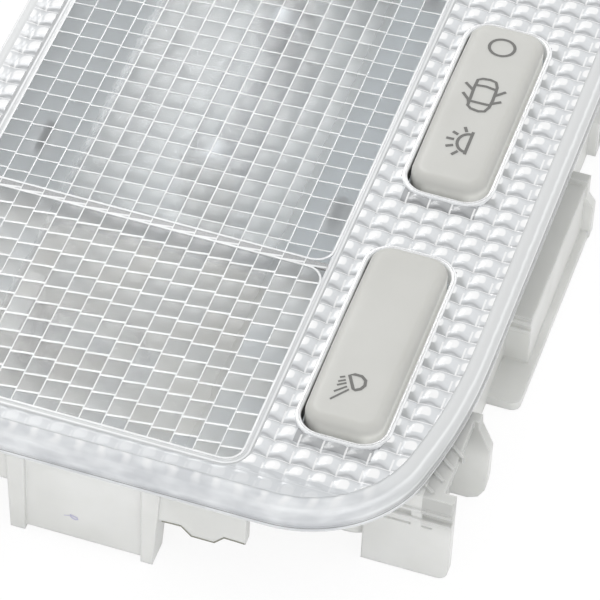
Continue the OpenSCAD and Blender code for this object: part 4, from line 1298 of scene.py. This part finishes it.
def grid_ribs():
    """Straight ribs along the cover, and slanted pieces across it from rib to rib."""
    bm = bmesh.new()
    for i in range(1, grid_columns):
        x = grid_left + i * pitch
        add_rib(bm, (x, -window_end), (x, window_end), rib_w, rib_foot, cover_top + rib_h)
    first_row = math.ceil((-window_end - grid_shift) / pitch)
    last_row = math.floor((window_end - grid_shift) / pitch)
    for j in range(first_row, last_row + 1):
        y = grid_shift + j * pitch
        slant, width = (-0.25 * mm, 0.3 * mm) if abs(y) > bar_y else (-0.14 * mm, rib_w)
        for i in range(grid_columns):
            x = grid_left + i * pitch
            add_rib(bm, (x, y + slant), (x + pitch, y - slant), width, rib_foot, cover_top + rib_h * 0.9)
    add_frame(bm, -window_end, -bar_y - half_bar)
    add_frame(bm, -bar_y + half_bar, bar_y - half_bar)
    add_frame(bm, bar_y + half_bar, window_end)
    return bm


def window_bars():
    """Grey bars between the dome window and the reading windows."""
    bm = bmesh.new()
    bar_w = 1.1 * mm
    for y in (-bar_y, bar_y):
        add_rib(
            bm, (grid_left, y), (grid_left + grid_w, y), bar_w,
            cover_top - 0.5 * mm, cover_top + 0.07 * mm,
        )
    return bm


def round_windows(steps):
    """Open band round all three windows, through steps of width and height."""
    bm = bmesh.new()
    loft(bm, [
        [Vector((window_mid + x, y, cover_top + height * mm)) for x, y in rounded_loop(
            grid_w + 2 * grow * mm, 2 * window_end + 2 * grow * mm, window_r + grow * mm, 8)]
        for grow, height in steps
    ])
    turn_faces(bm.faces, upward)
    return bm


def rim_band(low, high):
    """Narrow closed band that follows the cover's outline, between two pairs of an
    inset and a height."""
    bm = bmesh.new()
    loft(bm, [
        [Vector((x, y, z)) for x, y in cover_outline(inset)] for inset, z in (low, high)
    ])
    bmesh.ops.recalc_face_normals(bm, faces=bm.faces)
    return bm


proud = 0.012 * mm
# The crest and foot lines are painted highlights along the rim, and the groove line is painted shade.
rim_lines = {
    "cover_rim_crest": (
        rim_band((cover_edge + 0.16 * mm, cover_top + 0.06 * mm), (cover_edge, cover_top + 0.02 * mm)),
        frost_and_highlight,
    ),
    "cover_rim_groove": (
        rim_band((-proud, skirt_low + 0.82 * mm), (-proud, skirt_low + 0.95 * mm)),
        grey_acrylic("cover_groove_shade", 0.16, 0.34, 0.1, 0.3),
    ),
    "cover_strip": (
        round_windows([(0.02, 0.02), (0.5, 0.1), (0.95, 0.02), (1.3, 0.16)]),
        grey_acrylic("cover_strip_acrylic", 0.62, 0.72, 0.3, 0.15),
    ),
    "cover_strip_line": (round_windows([(0.62, 0.12), (0.88, 0.12)]), frost_and_highlight),
    "cover_rim_foot": (
        rim_band((-proud, skirt_low + 0.3 * mm), (-proud, skirt_low + 0.5 * mm)), frost_and_highlight,
    ),
}
for name, (bm, material) in rim_lines.items():
    line_piece = smooth_piece(name, bm, material, 30)
    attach(line_piece, "base")

ribs = smooth_piece("cover_grid_ribs", grid_ribs(), frost_and_highlight, 30)
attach(ribs, "base")
bar_acrylic = grey_acrylic("cover_bar_acrylic", 0.42, 0.55, 0.4, 0.15)
bars = smooth_piece("cover_window_bars", window_bars(), bar_acrylic, 30)
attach(bars, "base")


# Table and light. A white table and surround, a broad soft box over the far end and
# weaker ones from the right and from the camera, as in a product photograph, and a
# small lamp that glares in the cover over the dome pocket.
def seen_rays(tree):
    """1 for what the eye sees straight, in a reflection or through a clear piece."""
    rays = node(tree, "ShaderNodeLightPath").outputs
    seen = maths(tree, "MAXIMUM", rays["Is Camera Ray"], rays["Is Glossy Ray"])
    return maths(tree, "MAXIMUM", seen, rays["Is Transmission Ray"])


def white_table():
    material, tree, shader = new_material("white_table")
    give(tree, shader, {"Base Color": (0.95, 0.95, 0.95, 1), "Roughness": 0.9})
    glow = node(tree, "ShaderNodeEmission", {"Color": (1, 1, 1, 1), "Strength": 1.04})
    mix = node(tree, "ShaderNodeMixShader", {
        0: maths(tree, "MULTIPLY", seen_rays(tree), 0.86),
        1: shader.outputs["BSDF"], 2: glow.outputs["Emission"],
    })
    give(tree, tree.nodes["Material Output"], {"Surface": mix.outputs["Shader"]})
    return material


bpy.ops.mesh.primitive_plane_add(size=12, location=(0, 0, -0.3 * mm))
table = bpy.context.object
table.name = "table"
table.data.materials.append(white_table())

world = bpy.data.worlds.new("studio")
world.use_nodes = True
give(world.node_tree, world.node_tree.nodes["Background"], {
    "Color": (1, 1, 1, 1),
    "Strength": spread(world.node_tree, seen_rays(world.node_tree), 0, 1, 0.8, 1),
})
bpy.context.scene.world = world


def soft_box(name, place, aim, width, height, power):
    data = bpy.data.lights.new(name, "AREA")
    data.shape = "RECTANGLE"
    data.size, data.size_y = width, height
    data.energy = power
    lamp = bpy.data.objects.new(name, data)
    bpy.context.scene.collection.objects.link(lamp)
    lamp.location = place
    lamp.rotation_mode = "QUATERNION"
    lamp.rotation_quaternion = (Vector(aim) - Vector(place)).to_track_quat("-Z", "Y")


soft_box("high_soft_box", (-0.5, 0.5, 0.95), (0, 0, 0), 0.5, 0.5, 4.5)
soft_box("front_fill", (0.8, -0.5, 0.28), (0, -0.04, 0.02), 0.6, 0.35, 0.8)
soft_box("camera_fill", (0.1, -0.8, 0.5), (0, -0.04, 0.02), 0.4, 0.4, 0.9)

glare_spot = Vector((-14 * mm, 0, cover_top))
glare_ray = (glare_spot - camera.matrix_world.translation).normalized()
glare_ray.z = -glare_ray.z
glare_distance = 0.6
soft_box("glare_lamp", glare_spot + glare_ray * glare_distance, glare_spot, 0.05, 0.09, 0.18)
